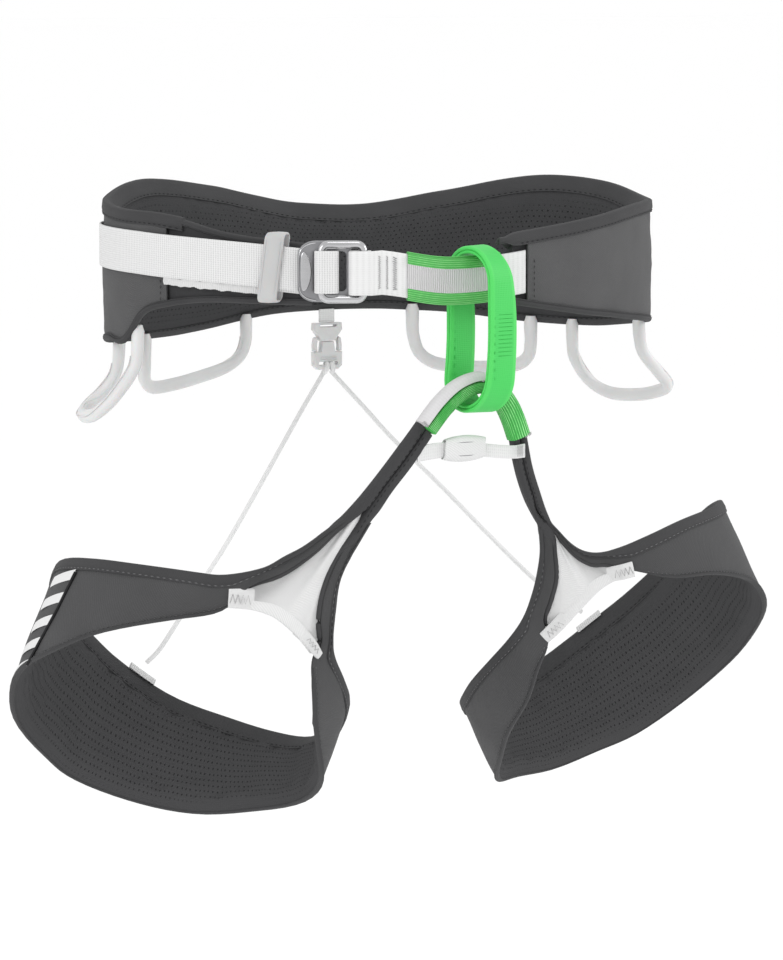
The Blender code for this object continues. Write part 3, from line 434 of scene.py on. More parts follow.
def patch(name, rows, finish, ride, nodes=(), ring=False, loop=False, shares=None):
    """Quads through rows of points, with metres and shares of the width as UVs."""
    grid = np.array([[tuple(p) for p in row] for row in rows], float)
    count, width = grid.shape[:2]
    steps = np.linalg.norm(np.roll(grid, -1, axis=0) - grid, axis=2).mean(axis=1)
    along = np.concatenate(([0], np.cumsum(steps)))
    steps = np.linalg.norm(np.roll(grid, -1, axis=1) - grid, axis=2).mean(axis=0)
    across = np.concatenate(([0], np.cumsum(steps)))
    if shares is None:
        shares = list(across[:width] / across[width - 1])
    shares = list(shares) + [shares[0]]
    bm = bmesh.new()
    metres, share = bm.loops.layers.uv.new("metres"), bm.loops.layers.uv.new("share")
    verts = [[bm.verts.new(p) for p in row] for row in grid]
    for i in range(count if loop else count - 1):
        for j in range(width if ring else width - 1):
            n, m = (i + 1) % count, (j + 1) % width
            face = bm.faces.new((verts[i][j], verts[n][j], verts[n][m], verts[i][m]))
            for corner, (a, b) in zip(face.loops, ((i, j), (i + 1, j), (i + 1, j + 1), (i, j + 1))):
                corner[metres].uv = (along[a], across[b])
                corner[share].uv = (along[a] / along[count - 1], shares[b])
    if ring and not loop:
        bm.faces.new(verts[0])
        bm.faces.new(verts[-1])
    return finish_mesh(name, bm, finish, ride, nodes)


def tape_outline(width, thick, steps=8):
    """Outline of a flat tape as (across, out) pairs, with rounded edges."""
    half, r = width / 2, thick / 2
    turn = [(math.sin(math.radians(a)), math.cos(math.radians(a))) for a in (45, 90, 135)]
    front = [((half - r) * (1 - 2 * k / steps), thick) for k in range(steps + 1)]
    low = [(-(half - r) - r * s, r + r * c) for s, c in turn]
    back = [(-x, 0.0) for x, _ in front]
    high = [((half - r) + r * s, r - r * c) for s, c in turn]
    return front + low + back + high


def tape_shares(steps=8):
    """Share of the width for each outline point, so that both faces run from edge to edge."""
    front = [k / steps for k in range(steps + 1)]
    return front + [1.0] * 3 + front[::-1] + [0.0] * 3


def tape(name, frames, width, thick, finish, ride, nodes=(), steps=8, loop=False, wave=0.0):
    """A strap along frames of (place of its inner face's middle, across, out)."""
    outline = tape_outline(width, thick, steps)
    rows = []
    for place, across, out in frames:
        sway = ripple(place, .012, wave) if wave else 0.0
        rows.append([place + across * (x + sway) + out * y for x, y in outline])
    return patch(name, rows, finish, ride, nodes, ring=True, loop=loop, shares=tape_shares(steps))


def tube(name, path, radii, finish, ride, nodes=(), sides=16, loop=False, up=UP, squash=1.0):
    """A round tube along a path; radii is one number or one for each point."""
    rows = []
    count = len(path)
    for i, point in enumerate(path):
        before = path[i - 1] if loop or i else path[0]
        after = path[(i + 1) % count] if loop or i + 1 < count else path[-1]
        along = (after - before).normalized()
        side = along.cross(up).normalized()
        lift = side.cross(along).normalized()
        r = radii[i] if hasattr(radii, "__len__") else radii
        turns = [2 * math.pi * k / sides for k in range(sides)]
        rows.append([point + side * r * math.cos(t) + lift * r * squash * math.sin(t) for t in turns])
    return patch(name, rows, finish, ride, nodes, ring=True, loop=loop)


def stitch_spots(places, outs, pitch, skip=0.0):
    """Evenly spaced (place, along, out) on a line of places."""
    spots, walked, due = [], 0.0, skip
    for (a, b), out in zip(zip(places, places[1:]), outs):
        length = (b - a).length
        while due <= walked + length and length > 0:
            spots.append((a.lerp(b, (due - walked) / length), (b - a).normalized(), out))
            due += pitch
        walked += length
    return spots


def stitches(name, spots, finish, ride, length=.0022, width=.00055, lift=.00032):
    """One raised lozenge of thread per (place, along, out)."""
    bm = bmesh.new()
    bm.loops.layers.uv.new("metres")
    for place, along, out in spots:
        side = along.cross(out).normalized()
        ends = [place - along * length / 2, place + along * length / 2]
        ring = [place + out * lift, place + side * width / 2 + out * lift * .3,
                place - out * lift * .6, place - side * width / 2 + out * lift * .3]
        a, b = (bm.verts.new(p) for p in ends)
        mid = [bm.verts.new(p) for p in ring]
        for k in range(4):
            bm.faces.new((a, mid[k], mid[(k + 1) % 4]))
            bm.faces.new((b, mid[(k + 1) % 4], mid[k]))
    return finish_mesh(name, bm, finish, ride, (), 80)


def bars(name, lines, radius, finish, ride, nodes=(), sides=6):
    """Short threads or cords, one tube for each list of points, joined in one piece."""
    bm = bmesh.new()
    bm.loops.layers.uv.new("metres")
    for path in lines:
        rings = []
        for i, point in enumerate(path):
            along = (path[min(i + 1, len(path) - 1)] - path[max(i - 1, 0)]).normalized()
            side = along.cross(Vector((.31, .17, .93))).normalized()
            lift = side.cross(along)
            rings.append([bm.verts.new(point + (side * math.cos(t) + lift * math.sin(t)) * radius)
                          for t in (2 * math.pi * k / sides for k in range(sides))])
        for one, two in zip(rings, rings[1:]):
            for k in range(sides):
                bm.faces.new((one[k], one[(k + 1) % sides], two[(k + 1) % sides], two[k]))
        bm.faces.new(rings[0])
        bm.faces.new(rings[-1])
    return finish_mesh(name, bm, finish, ride, nodes, 60)


def plate(name, outlines, half, bevel, place, finish, ride, nodes=()):
    """A flat moulding with rounded edges: an outline, then its windows; place maps (u, z, n)."""
    curve = bpy.data.curves.new(name, "CURVE")
    curve.dimensions = "2D"
    curve.fill_mode = "BOTH"
    curve.extrude, curve.bevel_depth, curve.bevel_resolution = half - bevel, bevel, 2
    curve.offset = -bevel
    for points in outlines:
        line = curve.splines.new("POLY")
        line.points.add(len(points) - 1)
        line.use_cyclic_u = True
        for spot, (u, z) in zip(line.points, points):
            spot.co = (u, z, 0, 1)
    holder = bpy.data.objects.new(name + "_line", curve)
    bpy.context.scene.collection.objects.link(holder)
    mesh = bpy.data.meshes.new_from_object(holder.evaluated_get(bpy.context.evaluated_depsgraph_get()))
    bpy.data.objects.remove(holder, do_unlink=True)
    bm = bmesh.new()
    bm.from_mesh(mesh)
    bpy.data.meshes.remove(mesh)
    bmesh.ops.remove_doubles(bm, verts=bm.verts, dist=1e-6)
    for vert in bm.verts:
        vert.co = place(*vert.co)
    return finish_mesh(name, bm, finish, ride, nodes, 35)


def rounded_box(left, right, low, high, corner, steps=5):
    """Outline of a rectangle with round corners."""
    points = []
    for cu, cz, first in ((right - corner, high - corner, 0), (left + corner, high - corner, 90),
                          (left + corner, low + corner, 180), (right - corner, low + corner, 270)):
        for k in range(steps + 1):
            t = math.radians(first + 90 * k / steps)
            points.append((cu + corner * math.cos(t), cz + corner * math.sin(t)))
    return points


def spread(start, end, step):
    return np.linspace(start, end, max(2, int(round(abs(end - start) / step)) + 1))


def puff(piece, free, pressure, cap, frames=14):
    """Let the free points swell as cloth under pressure, by no more than cap."""
    rest = [v.co.copy() for v in piece.data.vertices]
    pin = piece.vertex_groups.new(name="pin")
    for i, share in enumerate(free):
        pin.add([i], 1.0 - share, "REPLACE")
    cloth = piece.modifiers.new("swell", "CLOTH")
    settings = cloth.settings
    settings.quality, settings.mass, settings.air_damping = 5, .05, 5.0
    settings.tension_stiffness = settings.compression_stiffness = 12.0
    settings.shear_stiffness, settings.bending_stiffness = 6.0, .4
    settings.vertex_group_mass = "pin"
    settings.shrink_min = -.03
    settings.use_pressure, settings.uniform_pressure_force = True, pressure
    settings.effector_weights.gravity = 0.0
    cloth.collision_settings.use_collision = False
    cloth.point_cache.frame_end = frames
    scene = bpy.context.scene
    for frame_number in range(1, frames + 1):
        scene.frame_set(frame_number)
    settled = piece.evaluated_get(bpy.context.evaluated_depsgraph_get()).data
    moved = [v.co.copy() for v in settled.vertices]
    piece.modifiers.remove(cloth)
    piece.vertex_groups.remove(pin)
    scene.frame_set(1)
    for vert, start, end in zip(piece.data.vertices, rest, moved):
        step = end - start
        if step.length > cap:
            step *= cap / step.length
        vert.co = start + step
    piece.data.update()


# ---- waist belt -----------------------------------------------------------------------------------

def belt_point(angle, depth, z):
    a = math.radians(angle)
    place = Vector((-RING_A * math.sin(a), RING_C * math.sin(a) ** 2 - RING_B * math.cos(a), z))
    along = Vector((-RING_A * math.cos(a), RING_C * math.sin(2 * a) + RING_B * math.sin(a), 0)).normalized()
    return place - Vector((-along.y, along.x, 0)) * depth


def belt_out(angle):
    return (belt_point(angle, -.01, 0) - belt_point(angle, 0, 0)).normalized()


def belt_top(angle):
    return curve_at(BELT_TOP, angle)[0]


def belt_low(angle):
    return curve_at(BELT_BOTTOM, angle)[0]


def step_in(angle):
    """Depth of the binding's outer flap: it steps in from the shell to the thinner tongue."""
    return TONGUE_DEPTH * float(np.clip((66.5 - angle) / 5.5, 0, 1))


def lengths(start, end, count):
    """Evenly spaced values from start to end."""
    return [start + (end - start) * k / (count - 1) for k in range(count)]


def waist_shell():
    rows = []
    for a in spread(SHELL_RIGHT, SHELL_LEFT, 1.4):
        heights = lengths(belt_top(a) - .0018, belt_low(a) + .0018, 16)
        row = []
        for k, z in enumerate(heights):
            crease = ripple(belt_point(a, 0, z), .022, .0009) + ripple(belt_point(a, 0, z * 2), .009, .0004)
            row.append(belt_point(a, max(-.0001, .0012 - .0009 * crown(k / 15) + crease), z))
        rows.append(row + [belt_point(a, SHELL_IN, heights[k]) for k in (15, 8, 0)])
    patch("waist_shell", rows, "shell", BELT, ["waist_outer_shell", "waist_load_tape"],
          ring=True)


def padding(name, pairs, columns, finish, ride, nodes):
    """Foam under its mesh, from rows of (outer face points, inner face points)."""
    free = []
    for i, (outer, inner) in enumerate(pairs):
        end = min(1.0, i / 3, (len(pairs) - 1 - i) / 3)
        free += [0.0] * len(outer)
        free += [end * float(np.clip(4.5 * min(k, columns - 1 - k) / (columns - 1) - .5, 0, 1))
                 for k in range(columns)]
    shares = [0.0] * len(pairs[0][0]) + lengths(0, 1, columns)
    piece = patch(name, [outer + inner for outer, inner in pairs], finish, ride, nodes,
                  ring=True, shares=shares)
    puff(piece, free, 3.0, .0011)


def taper(distance, reach, edge, full):
    """Depth of the padded side at a distance from a thin edge."""
    t = float(np.clip(distance / reach, 0, 1))
    return edge + (full - edge) * t * t * (3 - 2 * t)


def belt_inner(angle, drop):
    """Depth of the belt's inner side at a distance from its upper or lower edge."""
    height = belt_top(angle) - belt_low(angle)
    full = LINER_IN + .0003
    return step_in(angle) + min(taper(drop, .014, .0046, full - step_in(angle)),
                                taper(height - drop, .012, .0036, full - step_in(angle)))


def waist_padding():
    pairs = []
    for a in spread(TONGUE_END + .5, PAD_LEFT - .3, 1.8):
        top, low = belt_top(a) - .0016, belt_low(a) + .0016
        rise = .0007 * (a < SHELL_RIGHT)
        outer = [belt_point(a, LINER_OUT - rise * crown(k / 5), z)
                 for k, z in enumerate(lengths(low, top, 6))]
        inner = []
        for k, z in enumerate(lengths(top, low, 16)):
            wave = ripple(belt_point(a, 0, z), .03, .0008)
            depth = belt_inner(a, belt_top(a) - z) - .0008 + (.0008 + wave) * crown(k / 15)
            inner.append(belt_point(a, depth, z))
        pairs.append((outer, inner))
    padding("waist_padding", pairs, 16, "lining", BELT, ["waist_foam_pad", "waist_mesh_liner"])


def binding_profile(out, edge, inner, flap_out, flap_in):
    """(depth, drop from the edge) round a folded binding; inner gives the padded side's depth by drop."""
    mid, half = out + edge / 2, edge / 2
    turn = [(mid - half * math.cos(t), .0015 * (1 - math.sin(t)))
            for t in np.radians((22, 45, 68, 90, 112, 135, 158))]
    face = [(inner(flap_in * share) + lift, flap_in * share) for share, lift in
            ((.30, .0003), (.55, .0004), (.78, .0003), (.88, -.0001), (.97, .0003), (1, -.0003))]
    return ([(out + .0006, flap_out), (out + .00005, flap_out - .0003), (out + .0004, flap_out - .0012),
             (out - .0001, flap_out - .0022), (out - .0002, (flap_out + .0015) / 2)] + turn + face
            + [(mid + half * .5, flap_in * .5), (mid, .0012), (out + TAPE_WALL, flap_out - .0006)])


def piping_profile(edge, drop=.0007):
    """(depth, drop from the edge) round a thin corded edge."""
    half = edge / 2
    return [(half - (half + .0002) * math.cos(t), drop - (drop + .0003) * math.sin(t))
            for t in np.radians(np.arange(0, 360, 30))]


def waist_roll(name, start, end, edge, sign, flap, thick, low=0.0, node=None):
    """Folded tape over one edge of the belt between two angles, with its stitching."""
    rows, seams = [], {"out": ([], []), "in": ([], [])}
    flap_in = FLAP_IN if flap > .005 else flap + .001
    for a in spread(start, end, 1.6):
        z, out = edge(a) - sign * low, step_in(a)
        fade = float(np.clip((end - a) / 3.5, .45, 1)) if end > PAD_LEFT else 1.0
        height = belt_top(a) - belt_low(a)

        def inner(drop):
            return belt_inner(a, drop if sign > 0 else height - drop)
        sag = ripple(belt_point(a, 0, z), .02, .0004)
        ring = []
        for depth, drop in binding_profile(out, thick, inner, flap, flap_in):
            depth = out + (depth - out) * (.35 + .65 * fade)
            dent = ripple(belt_point(a, depth, z - drop), .006, .00014)
            down = (drop + sag * .5) * fade + .0030 * (1 - fade)
            ring.append(belt_point(a, depth + dent, z - sign * down))
        rows.append(ring)
        if fade == 1:
            reach, normal = flap_in * .88, belt_out(a)
            for where, depth, drop, way in (("out", out, flap - .0012, 1), ("in", inner(reach), reach, -1)):
                seams[where][0].append(belt_point(a, depth + .0002, z - sign * (drop + sag * .5)))
                seams[where][1].append(normal * way)
    patch(f"waist_{name}_roll", rows, "binding", BELT, [node] if node else (), ring=True)
    for where, (places, outs) in seams.items():
        spots = stitch_spots(places, outs, STITCH_PITCH)
        stitches(f"waist_{name}_seam_{where}", spots, "thread", BELT)


def waist_hems():
    """Stitched hems where the shell ends at the front, and the strap's slot on the wearer's right."""
    spots = []
    for angle, first, last in ((SHELL_LEFT - 1.3, -.006, .011), (SHELL_RIGHT + 1.6, -.006, .022)):
        places = [belt_point(angle, .0000, z) for z in np.linspace(first - .004, last, 14)]
        spots += stitch_spots(places, [belt_out(angle)] * 13, .0030)
    stitches("waist_hem_seams", spots, "thread", BELT)


# ---- straps and buckle ----------------------------------------------------------------------------

def buckle_frame():
    here, out = belt_point(BUCKLE_ANGLE, 0, BUCKLE_Z), belt_out(BUCKLE_ANGLE)
    return here, Vector((-out.y, out.x, 0)), out


def buckle_point(u, n, z=0.0):
    here, along, out = buckle_frame()
    return here + along * u + out * n + UP * z


def strap_mid(angle):
    return curve_at(STRAP_MID, angle)[0]


def tail_depth(angle):
    return -GAP - (WEB + GAP) * float(np.clip((76 - angle) / 8, 0, 1))


def waist_straps():
    for name, end, thing, rise, depth_at, width in (
            ("load_strap", LOAD_START, "waist_load_strap", -.0013, lambda a: -GAP, .0220),
            ("tail_strap", STRAP_END, "adjustment_strap", 0, tail_depth, WEB_WIDTH)):
        frames = [(belt_point(a, depth_at(a), strap_mid(a) + rise), UP, belt_out(a))
                  for a in spread(STRAP_START, end, 1)]
        tape(name, frames, width, WEB, "strap", BELT, [thing])
    face, lines = -GAP - WEB - .0001, []
    for a in np.arange(43.0, 66.6, .50):
        place, out = belt_point(a, face, strap_mid(a) - .0129 + ripple((a, 0, 0), 1.7, .0007)), belt_out(a)
        lines.append([place + UP * rise + out * lift
                      for rise, lift in ((.0019, .0001), (0, .0005), (-.0014, -.0002))])
    bars("load_strap_whipping", lines, .00075, "thread_white", BELT)
    ends = [[belt_point(STRAP_END - da, face, strap_mid(STRAP_END) + z) for da in (1.0, 2.0)]
            for z in np.linspace(-.0092, .0092, 12)]
    bars("tail_strap_end_tack", ends, .0004, "thread_white", BELT)


def rod_side(turn):
    """Direction from a buckle rod's middle at a turn from the strap's run towards the outside."""
    along, out = buckle_frame()[1:]
    return along * math.cos(math.radians(turn)) + out * math.sin(math.radians(turn))


def strap_turn():
    frames = []
    for turn in np.linspace(200, -10, 19):
        middle = buckle_point(BAR_LEFT + (.0052 if turn < 90 else 0), FRAME_N)
        frames.append((middle + rod_side(turn) * (ROD / 2 + GAP), UP, rod_side(turn)))
    tape("strap_turn", frames, .0216, WEB, "strap", "buckle_ring", ["buckle_strap_turn"])


def tie_in_line(angle):
    lift = float(np.clip((angle - TIE_START) / (TIE_JOIN - TIE_START), 0, 1))
    climb = float(np.clip((angle - 366) / (TIE_JOIN - 366), 0, 1))
    climb *= climb * (3 - 2 * climb)
    return (TIE_DEPTH - TIE_RISE * lift * lift,
            TIE_MID - TIE_SAG * math.sin(math.pi * lift) + (TIE_AT_BUCKLE - TIE_MID) * climb)


def tie_in_strap():
    frames = []
    for a in spread(TIE_START, TIE_JOIN, 1.0):
        depth, mid = tie_in_line(a)
        place = belt_point(a, depth, 0)
        frames.append((place + UP * mid, UP, (belt_point(a, depth - .01, 0) - place).normalized()))
    out, belt_count = belt_out(BUCKLE_ANGLE), len(frames)
    radius, level = ROD / 2 + GAP, UP * (TIE_AT_BUCKLE - BUCKLE_Z)
    for u in (BAR_RIGHT + ROD, BAR_RIGHT + ROD / 2, BAR_RIGHT):
        frames.append((buckle_point(u, FRAME_N + radius) + level, UP, out))
    for turn in np.linspace(100, 260, 13):
        side = rod_side(turn)
        frames.append((buckle_point(BAR_RIGHT - ROD, FRAME_N) + level + side * radius, UP, side))
    for u, lift in ((BAR_RIGHT, 0), (BAR_RIGHT + ROD, .0002)):
        frames.append((buckle_point(u, FRAME_N - radius + lift) + level, UP, -out))
    tape("tie_in_strap", frames, TIE_WIDTH, WEB, "tie_strap", BELT, ["tie_in_webbing"])
    face = frames[:belt_count + 1][::-1]
    run = np.cumsum([0] + [(q[0] - p[0]).length for p, q in zip(face, face[1:])])
    for word, distance, sway, finish in (("near", .0058, .0008, "thread_pale"),
                                         ("middle", .0108, .0004, "thread_pale"),
                                         ("far", .0152, .0011, "thread_grey")):
        path = []
        for k in range(31):
            at = distance + sway * (1 if k % 2 else -1) + ripple((k, distance, 0), 1.7, .0005)
            place = Vector([np.interp(at, run, [f[0][axis] for f in face]) for axis in range(3)])
            path.append(place + face[3][2] * (WEB + .00012) + UP * (-.0080 + .0165 * k / 30))
        bars("tie_in_tack_" + word, [path], .00020, finish, BELT)


def sleeve(name, outer, inner, finish, ride, nodes, shares=None):
    """An open tube with a wall, from its outer and inner cross-sections."""
    patch(name, outer + inner[::-1], finish, ride, nodes, ring=True, loop=True, shares=shares)


def protector():
    outer, inner, front, back = [], [], lengths(0, 1, 15), [1, .75, .5, .25, 0]
    for a in spread(*PROTECTOR, .8):
        depth, mid = tie_in_line(a)
        near = min((a - PROTECTOR[0]) / 1.5, (PROTECTOR[1] - a) / 1.5, 1)
        for rings, grow, half in ((outer, .0015, PROTECTOR_HALF), (inner, .0004, TIE_WIDTH / 2 + .0012)):
            ring = []
            for t in front:
                border = abs(t - .5) * 2
                roll = .0009 * (1 - min(1, (1 - border) / .09)) ** 2
                recess = .0005 * float(np.clip((.56 - border) / .06, 0, 1)) if rings is outer else 0
                ring.append(belt_point(a, depth - WEB - grow + recess + roll + .0003 * (1 - near),
                                       mid + half * (2 * t - 1)))
            ring += [belt_point(a, depth + grow, mid + half * (2 * t - 1) * .985) for t in back]
            rings.append(ring)
    sleeve("tie_in_sleeve", outer, inner, "sleeve", BELT, ["upper_tie_in_protector"],
           front + back)


def buckle():
    middle, half, corner, sharp = (PLATE_RIGHT + PLATE_LEFT) / 2, PLATE_HEIGHT / 2, .009, .0015
    outer = []
    for cu, cz, first in ((PLATE_RIGHT - sharp, half - sharp, 0),
                          (PLATE_LEFT + corner, half - corner * .8, 90),
                          (PLATE_LEFT + corner, -half + corner * .8, 180),
                          (PLATE_RIGHT - sharp, -half + sharp, 270)):
        reach, tall = (corner, corner * .8) if cu < middle else (sharp, sharp)
        for t in np.radians(np.linspace(first, first + 90, 9)):
            outer.append((cu + reach * math.cos(t), cz + tall * math.sin(t)))
    outer = [(u + .0026 * (u > 0), z) for u, z in outer]
    window = rounded_box(-.0096, .0066, -half * .66, half * .66, .0022)
    boss = [(-.0137 + .0029 * math.cos(t) - .0012 * math.sin(t) ** 2, .0100 * math.sin(t))
            for t in np.radians(np.arange(0, 360, 12))]
    bar = rounded_box(-.0103, -.0079, -.0096, .0096, .0008)
    for name, outlines, thick, bevel, lift, finish, nodes in (
            ("buckle_boss", [boss], .0011, .0006, .0008, "steel", ()),
            ("buckle_back_plate", [outer, window], PLATE_THICK / 2, .00055, 0, "plate", ["buckle_plate"]),
            ("buckle_back_bar", [bar], .0007, .0003, 0, "plate", ["buckle_plate_bar"])):
        plate(name, outlines, thick, bevel, lambda u, z, n: buckle_point(u, PLATE_N + lift + n, z), finish,
              BELT, nodes)
    face = PLATE_N + PLATE_THICK / 2
    rim = [buckle_point(u * .93 - .0006, face - .0001, z * .93) for u, z in outer if u < .002]
    bars("buckle_plate_rim", [rim], .00045, "steel", BELT)
    tall = FRAME_HEIGHT / 2 - ROD / 2
    path = [buckle_point(u, FRAME_N, z) for u, z in rounded_box(BAR_LEFT, BAR_RIGHT, -tall, tall, .0035, 8)]
    tube("buckle_rod_frame", path, ROD / 2, "steel", "buckle_ring", ["buckle_ring_frame"],
         sides=20, loop=True, up=buckle_frame()[2])


def keeper_slant(z):
    """How far the keeper leans along the strap at a height."""
    return (z - .0076) * .13


def keeper():
    here, out = belt_point(KEEPER_ANGLE, 0, 0), belt_out(KEEPER_ANGLE)
    along = Vector((-out.y, out.x, 0))
    outer, inner, half = [], [], KEEPER_WIDTH * .44
    for s, worn in ((-half, .0005), (-half + .0003, .0002), (-half + .0010, 0), (0, -.0002),
                    (half - .0010, 0), (half - .0003, .0002), (half, .0005)):
        for rings, wall in ((outer, worn), (inner, .0012)):
            low, high, near, far = -.0102 + wall, .0254 - wall, -.0020 + wall, .0056 - wall
            corner = min(.0030 if rings is outer else .0018, (far - near) / 2 - .0002)
            rings.append([here + along * (s + .0022 * (.0040 - n) / .0060 + keeper_slant(z)) + out * n
                          + UP * z for n, z in rounded_box(near, far, low, high, corner, 6)])
    sleeve("keeper_band", outer, inner, "keeper", "strap_keeper", ["strap_keeper"])
    lines = [[here + along * (s - .0006 + keeper_slant(z)) + out * .00562 + UP * z
              for z in np.linspace(-.0062, .0214, 12)] for s in (-half + .0012, half - .0012)]
    bars("keeper_ridges", lines, .00028, "keeper", "strap_keeper")


# ---- belay loop and lower tie-in point ------------------------------------------------------------

def belay_frames(inset):
    """Frames round the loop, at a distance inside its outer face."""
    radius = BELAY_DEPTH / 2
    straight = BELAY_HEIGHT / 2 - radius
    turn = Matrix.Rotation(math.radians(BELAY_TURN), 3, "Z")
    rows = []
    for centre, first in ((straight, 0), (-straight, 180)):
        rows += [(centre, Vector((0, -math.cos(t), math.sin(t))))
                 for t in np.radians(np.linspace(first, first + 180, 21))]
        rows += [(centre - 2 * centre * k / 10, AWAY * (-1 if first else 1)) for k in range(1, 10)]
    frames = []
    for z, out in rows:
        place = turn @ (UP * z + out * (radius - inset))
        share = place.z / (BELAY_HEIGHT / 2)
        twist = Matrix.Rotation(.34 * share * abs(share), 3, "Z") @ turn
        bent = Vector((place.x + .0020 - .0034 * share * share, place.y, place.z * .958))
        frames.append((BELAY_CENTRE + bent, twist @ RIGHT * (1 - .10 * share * share), twist @ out))
    return frames


def belay_loop():
    for name, inset, width, thick, nodes in (("outer", .0021, BELAY_WIDTH, .0020, ["belay_loop"]),
                                             ("inner", BELAY_THICK, BELAY_WIDTH - .0006, .0018, ())):
        tape(f"belay_{name}_layer", belay_frames(inset), width, thick, "belay", "belay_loop",
             nodes, steps=10, loop=True)
    turn = Matrix.Rotation(math.radians(BELAY_TURN), 3, "Z")
    face, right, centre = turn @ -AWAY, turn @ RIGHT, BELAY_CENTRE + RIGHT * .0020
    front = centre + face * (BELAY_DEPTH / 2 - .00012)
    back = centre - face * (BELAY_DEPTH / 2 - BELAY_THICK + .0001)
    lines = [[front + right * x + UP * (.0085 - k * .0021) for x in (-.0038, 0, .0050)] for k in range(11)]
    for middle, aside, length in ((front, .0062, .0014), (back, .0055, .0020)):
        lines += [[middle - right * aside + UP * (.0120 - k * .0044 - d) for d in (0, length)]
                  for k in range(9)]
    bars("belay_stitching", lines, .00014, "thread_green", "belay_loop")


def arch_frames(count):
    rows = row_curve(ARCH_EDGE, count)
    frames = []
    for i, (x, z) in enumerate(rows):
        before, after = rows[max(i - 1, 0)], rows[min(i + 1, count - 1)]
        along = Vector((after[0] - before[0], 0, after[1] - before[1])).normalized()
        frames.append((Vector((x, ARCH_Y, z)), Vector((along.z, 0, -along.x)), along))
    return frames


def squared(t, power):
    """Cosine and sine of a turn, pushed out towards a square by a negative power."""
    c, n = math.cos(t), math.sin(t)
    return c * abs(c) ** power, n * abs(n) ** power


def arch():
    """Folded tie-in strip with its ribbed guard on the inner side, stitched and frayed at the ends."""
    strip, guard, lines = [], [], []
    frames = arch_frames(49)
    for place, inward, along in frames:
        strip.append([place + inward * d + AWAY * y for d, y in
                      ((.0004, .0030), (0, .0012), (0, -.0012), (.0004, -.0030), (.0013, -.0041),
                       (.0027, -.0046), (.0042, -.0048), (.0046, -.0040), (.0046, .0040), (.0042, .0048),
                       (.0027, .0046), (.0013, .0041))])
        wrap = float(np.clip((place.x - .0075) / .004, 0, 1))
        near, deep = .0049 - .0052 * wrap, .0032 + .0026 * wrap
        turns = [squared(2 * math.pi * (k + .5) / 16, -.35) for k in range(16)]
        guard.append([place + inward * (near + deep - deep * c) - AWAY * .0055 * n for c, n in turns])
    patch("arch_strip", strip, "arch", BELT, ["lower_tie_in_webbing"], ring=True)
    patch("arch_guard", guard, "guard", BELT, ["lower_tie_in_protector"], ring=True)
    for i in (0, 48):
        place, inward, along = frames[i]
        for k in range(8):
            foot = place + inward * (.0004 + k * .0005) - AWAY * .0050
            sway = ripple((k, i, 0), .7, .0006)
            lines.append([foot - along * (.0007 + sway), foot + along * (.0007 - sway) + inward * .0003])
    bars("arch_end_tacks", lines, .00018, "thread_pale", BELT)


def cross_strap():
    centre = (SLIDER_X, STRAP_Y, SLIDER_Z, .0036)
    for side, reach, knots in (
            (-1, -.0280, ((-.0334, -.0945, -.0886, .0040), (-.0236, STRAP_Y + .0004, -.0871, .0040), centre)),
            (1, .0190, (centre, (.0180, STRAP_Y - .0002, -.0898, .0034), (.0268, -.0986, -.0894, .0036)))):
        rows = [[Vector((x, y + .0006 * dy, z + half * dz)) for dy, dz in
                 ((-.5, 1), (-1, .86), (-1, .4), (-.8, 0), (-1, -.4), (-1, -.86), (-.5, -1),
                  (.5, -1), (1, -.86), (1, 0), (1, .86), (.5, 1))] for x, y, z, half in row_curve(knots, 19)]
        name = SIDE_NAMES[side]
        piece = patch("cross_elastic_" + name, rows, "elastic", None,
                      ["cross_strap_" + name], ring=True)
        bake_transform(piece)
    lines = [[Vector((.0225 + x, -.0994, -.0894 + z)) for z in np.linspace(-.0028, .0028, 5)]
             for x in (0, .0012, .0024)]
    bars("cross_strap_tack", lines, .00020, "thread_pale", LEGS[1])


def cross_slider():
    outer, inner = [], []
    for s in np.linspace(-1, 1, 13):
        swell = 1 - .55 * s * s
        for rings, wall in ((outer, .0013), (inner, .0002)):
            tall = .0058 + wall * swell * .8 - .0010 * s * s
            deep = .0013 + wall * (.55 + .8 * swell)
            ring = []
            for k in range(18):
                t = 2 * math.pi * (k + .5) / 18
                lean = .0010 * math.sin(t) * abs(math.sin(t))
                ring.append(Vector((SLIDER_X + s * .0115 + lean, STRAP_Y - deep * squared(t, -.3)[0],
                                    SLIDER_Z + tall * squared(t, -.45)[1])))
            rings.append(ring)
    sleeve("cross_strap_keeper", outer, inner, "hem", "cross_strap_slider",
           ["cross_strap_slider"])
    lines = [[Vector((SLIDER_X + x, STRAP_Y - .0027 + 9 * x * x, SLIDER_Z + z * (1 - 1400 * x * x)))
              for x in np.linspace(-.0095, .0095, 10)] for z in (-.0034, .0034)]
    bars("cross_keeper_folds", lines, .00035, "thread_grey", "cross_strap_slider")


# ---- leg loops ------------------------------------------------------------------------------------

def thigh_point(side, angle, height, depth):
    tilt, lean = math.radians(THIGH_TILT), math.radians(THIGH_LEAN)
    up = Vector((-side * math.sin(tilt), math.sin(lean), 0))
    up.z = math.sqrt(1 - up.length_squared)
    across = (Vector((1, 0, 0)) - up * up.x).normalized()
    ahead = up.cross(across)
    t, r = math.radians(angle), THIGH_RADIUS + curve_at(THIGH_SWELL[side], angle)[0] - depth
    centre = Vector((side * THIGH_CENTRE[0], *THIGH_CENTRE[1:]))
    return centre + across * side * r * math.sin(t) - ahead * r * math.cos(t) + up * height


def thigh_out(side, angle, height):
    return (thigh_point(side, angle, height, -.01) - thigh_point(side, angle, height, 0)).normalized()


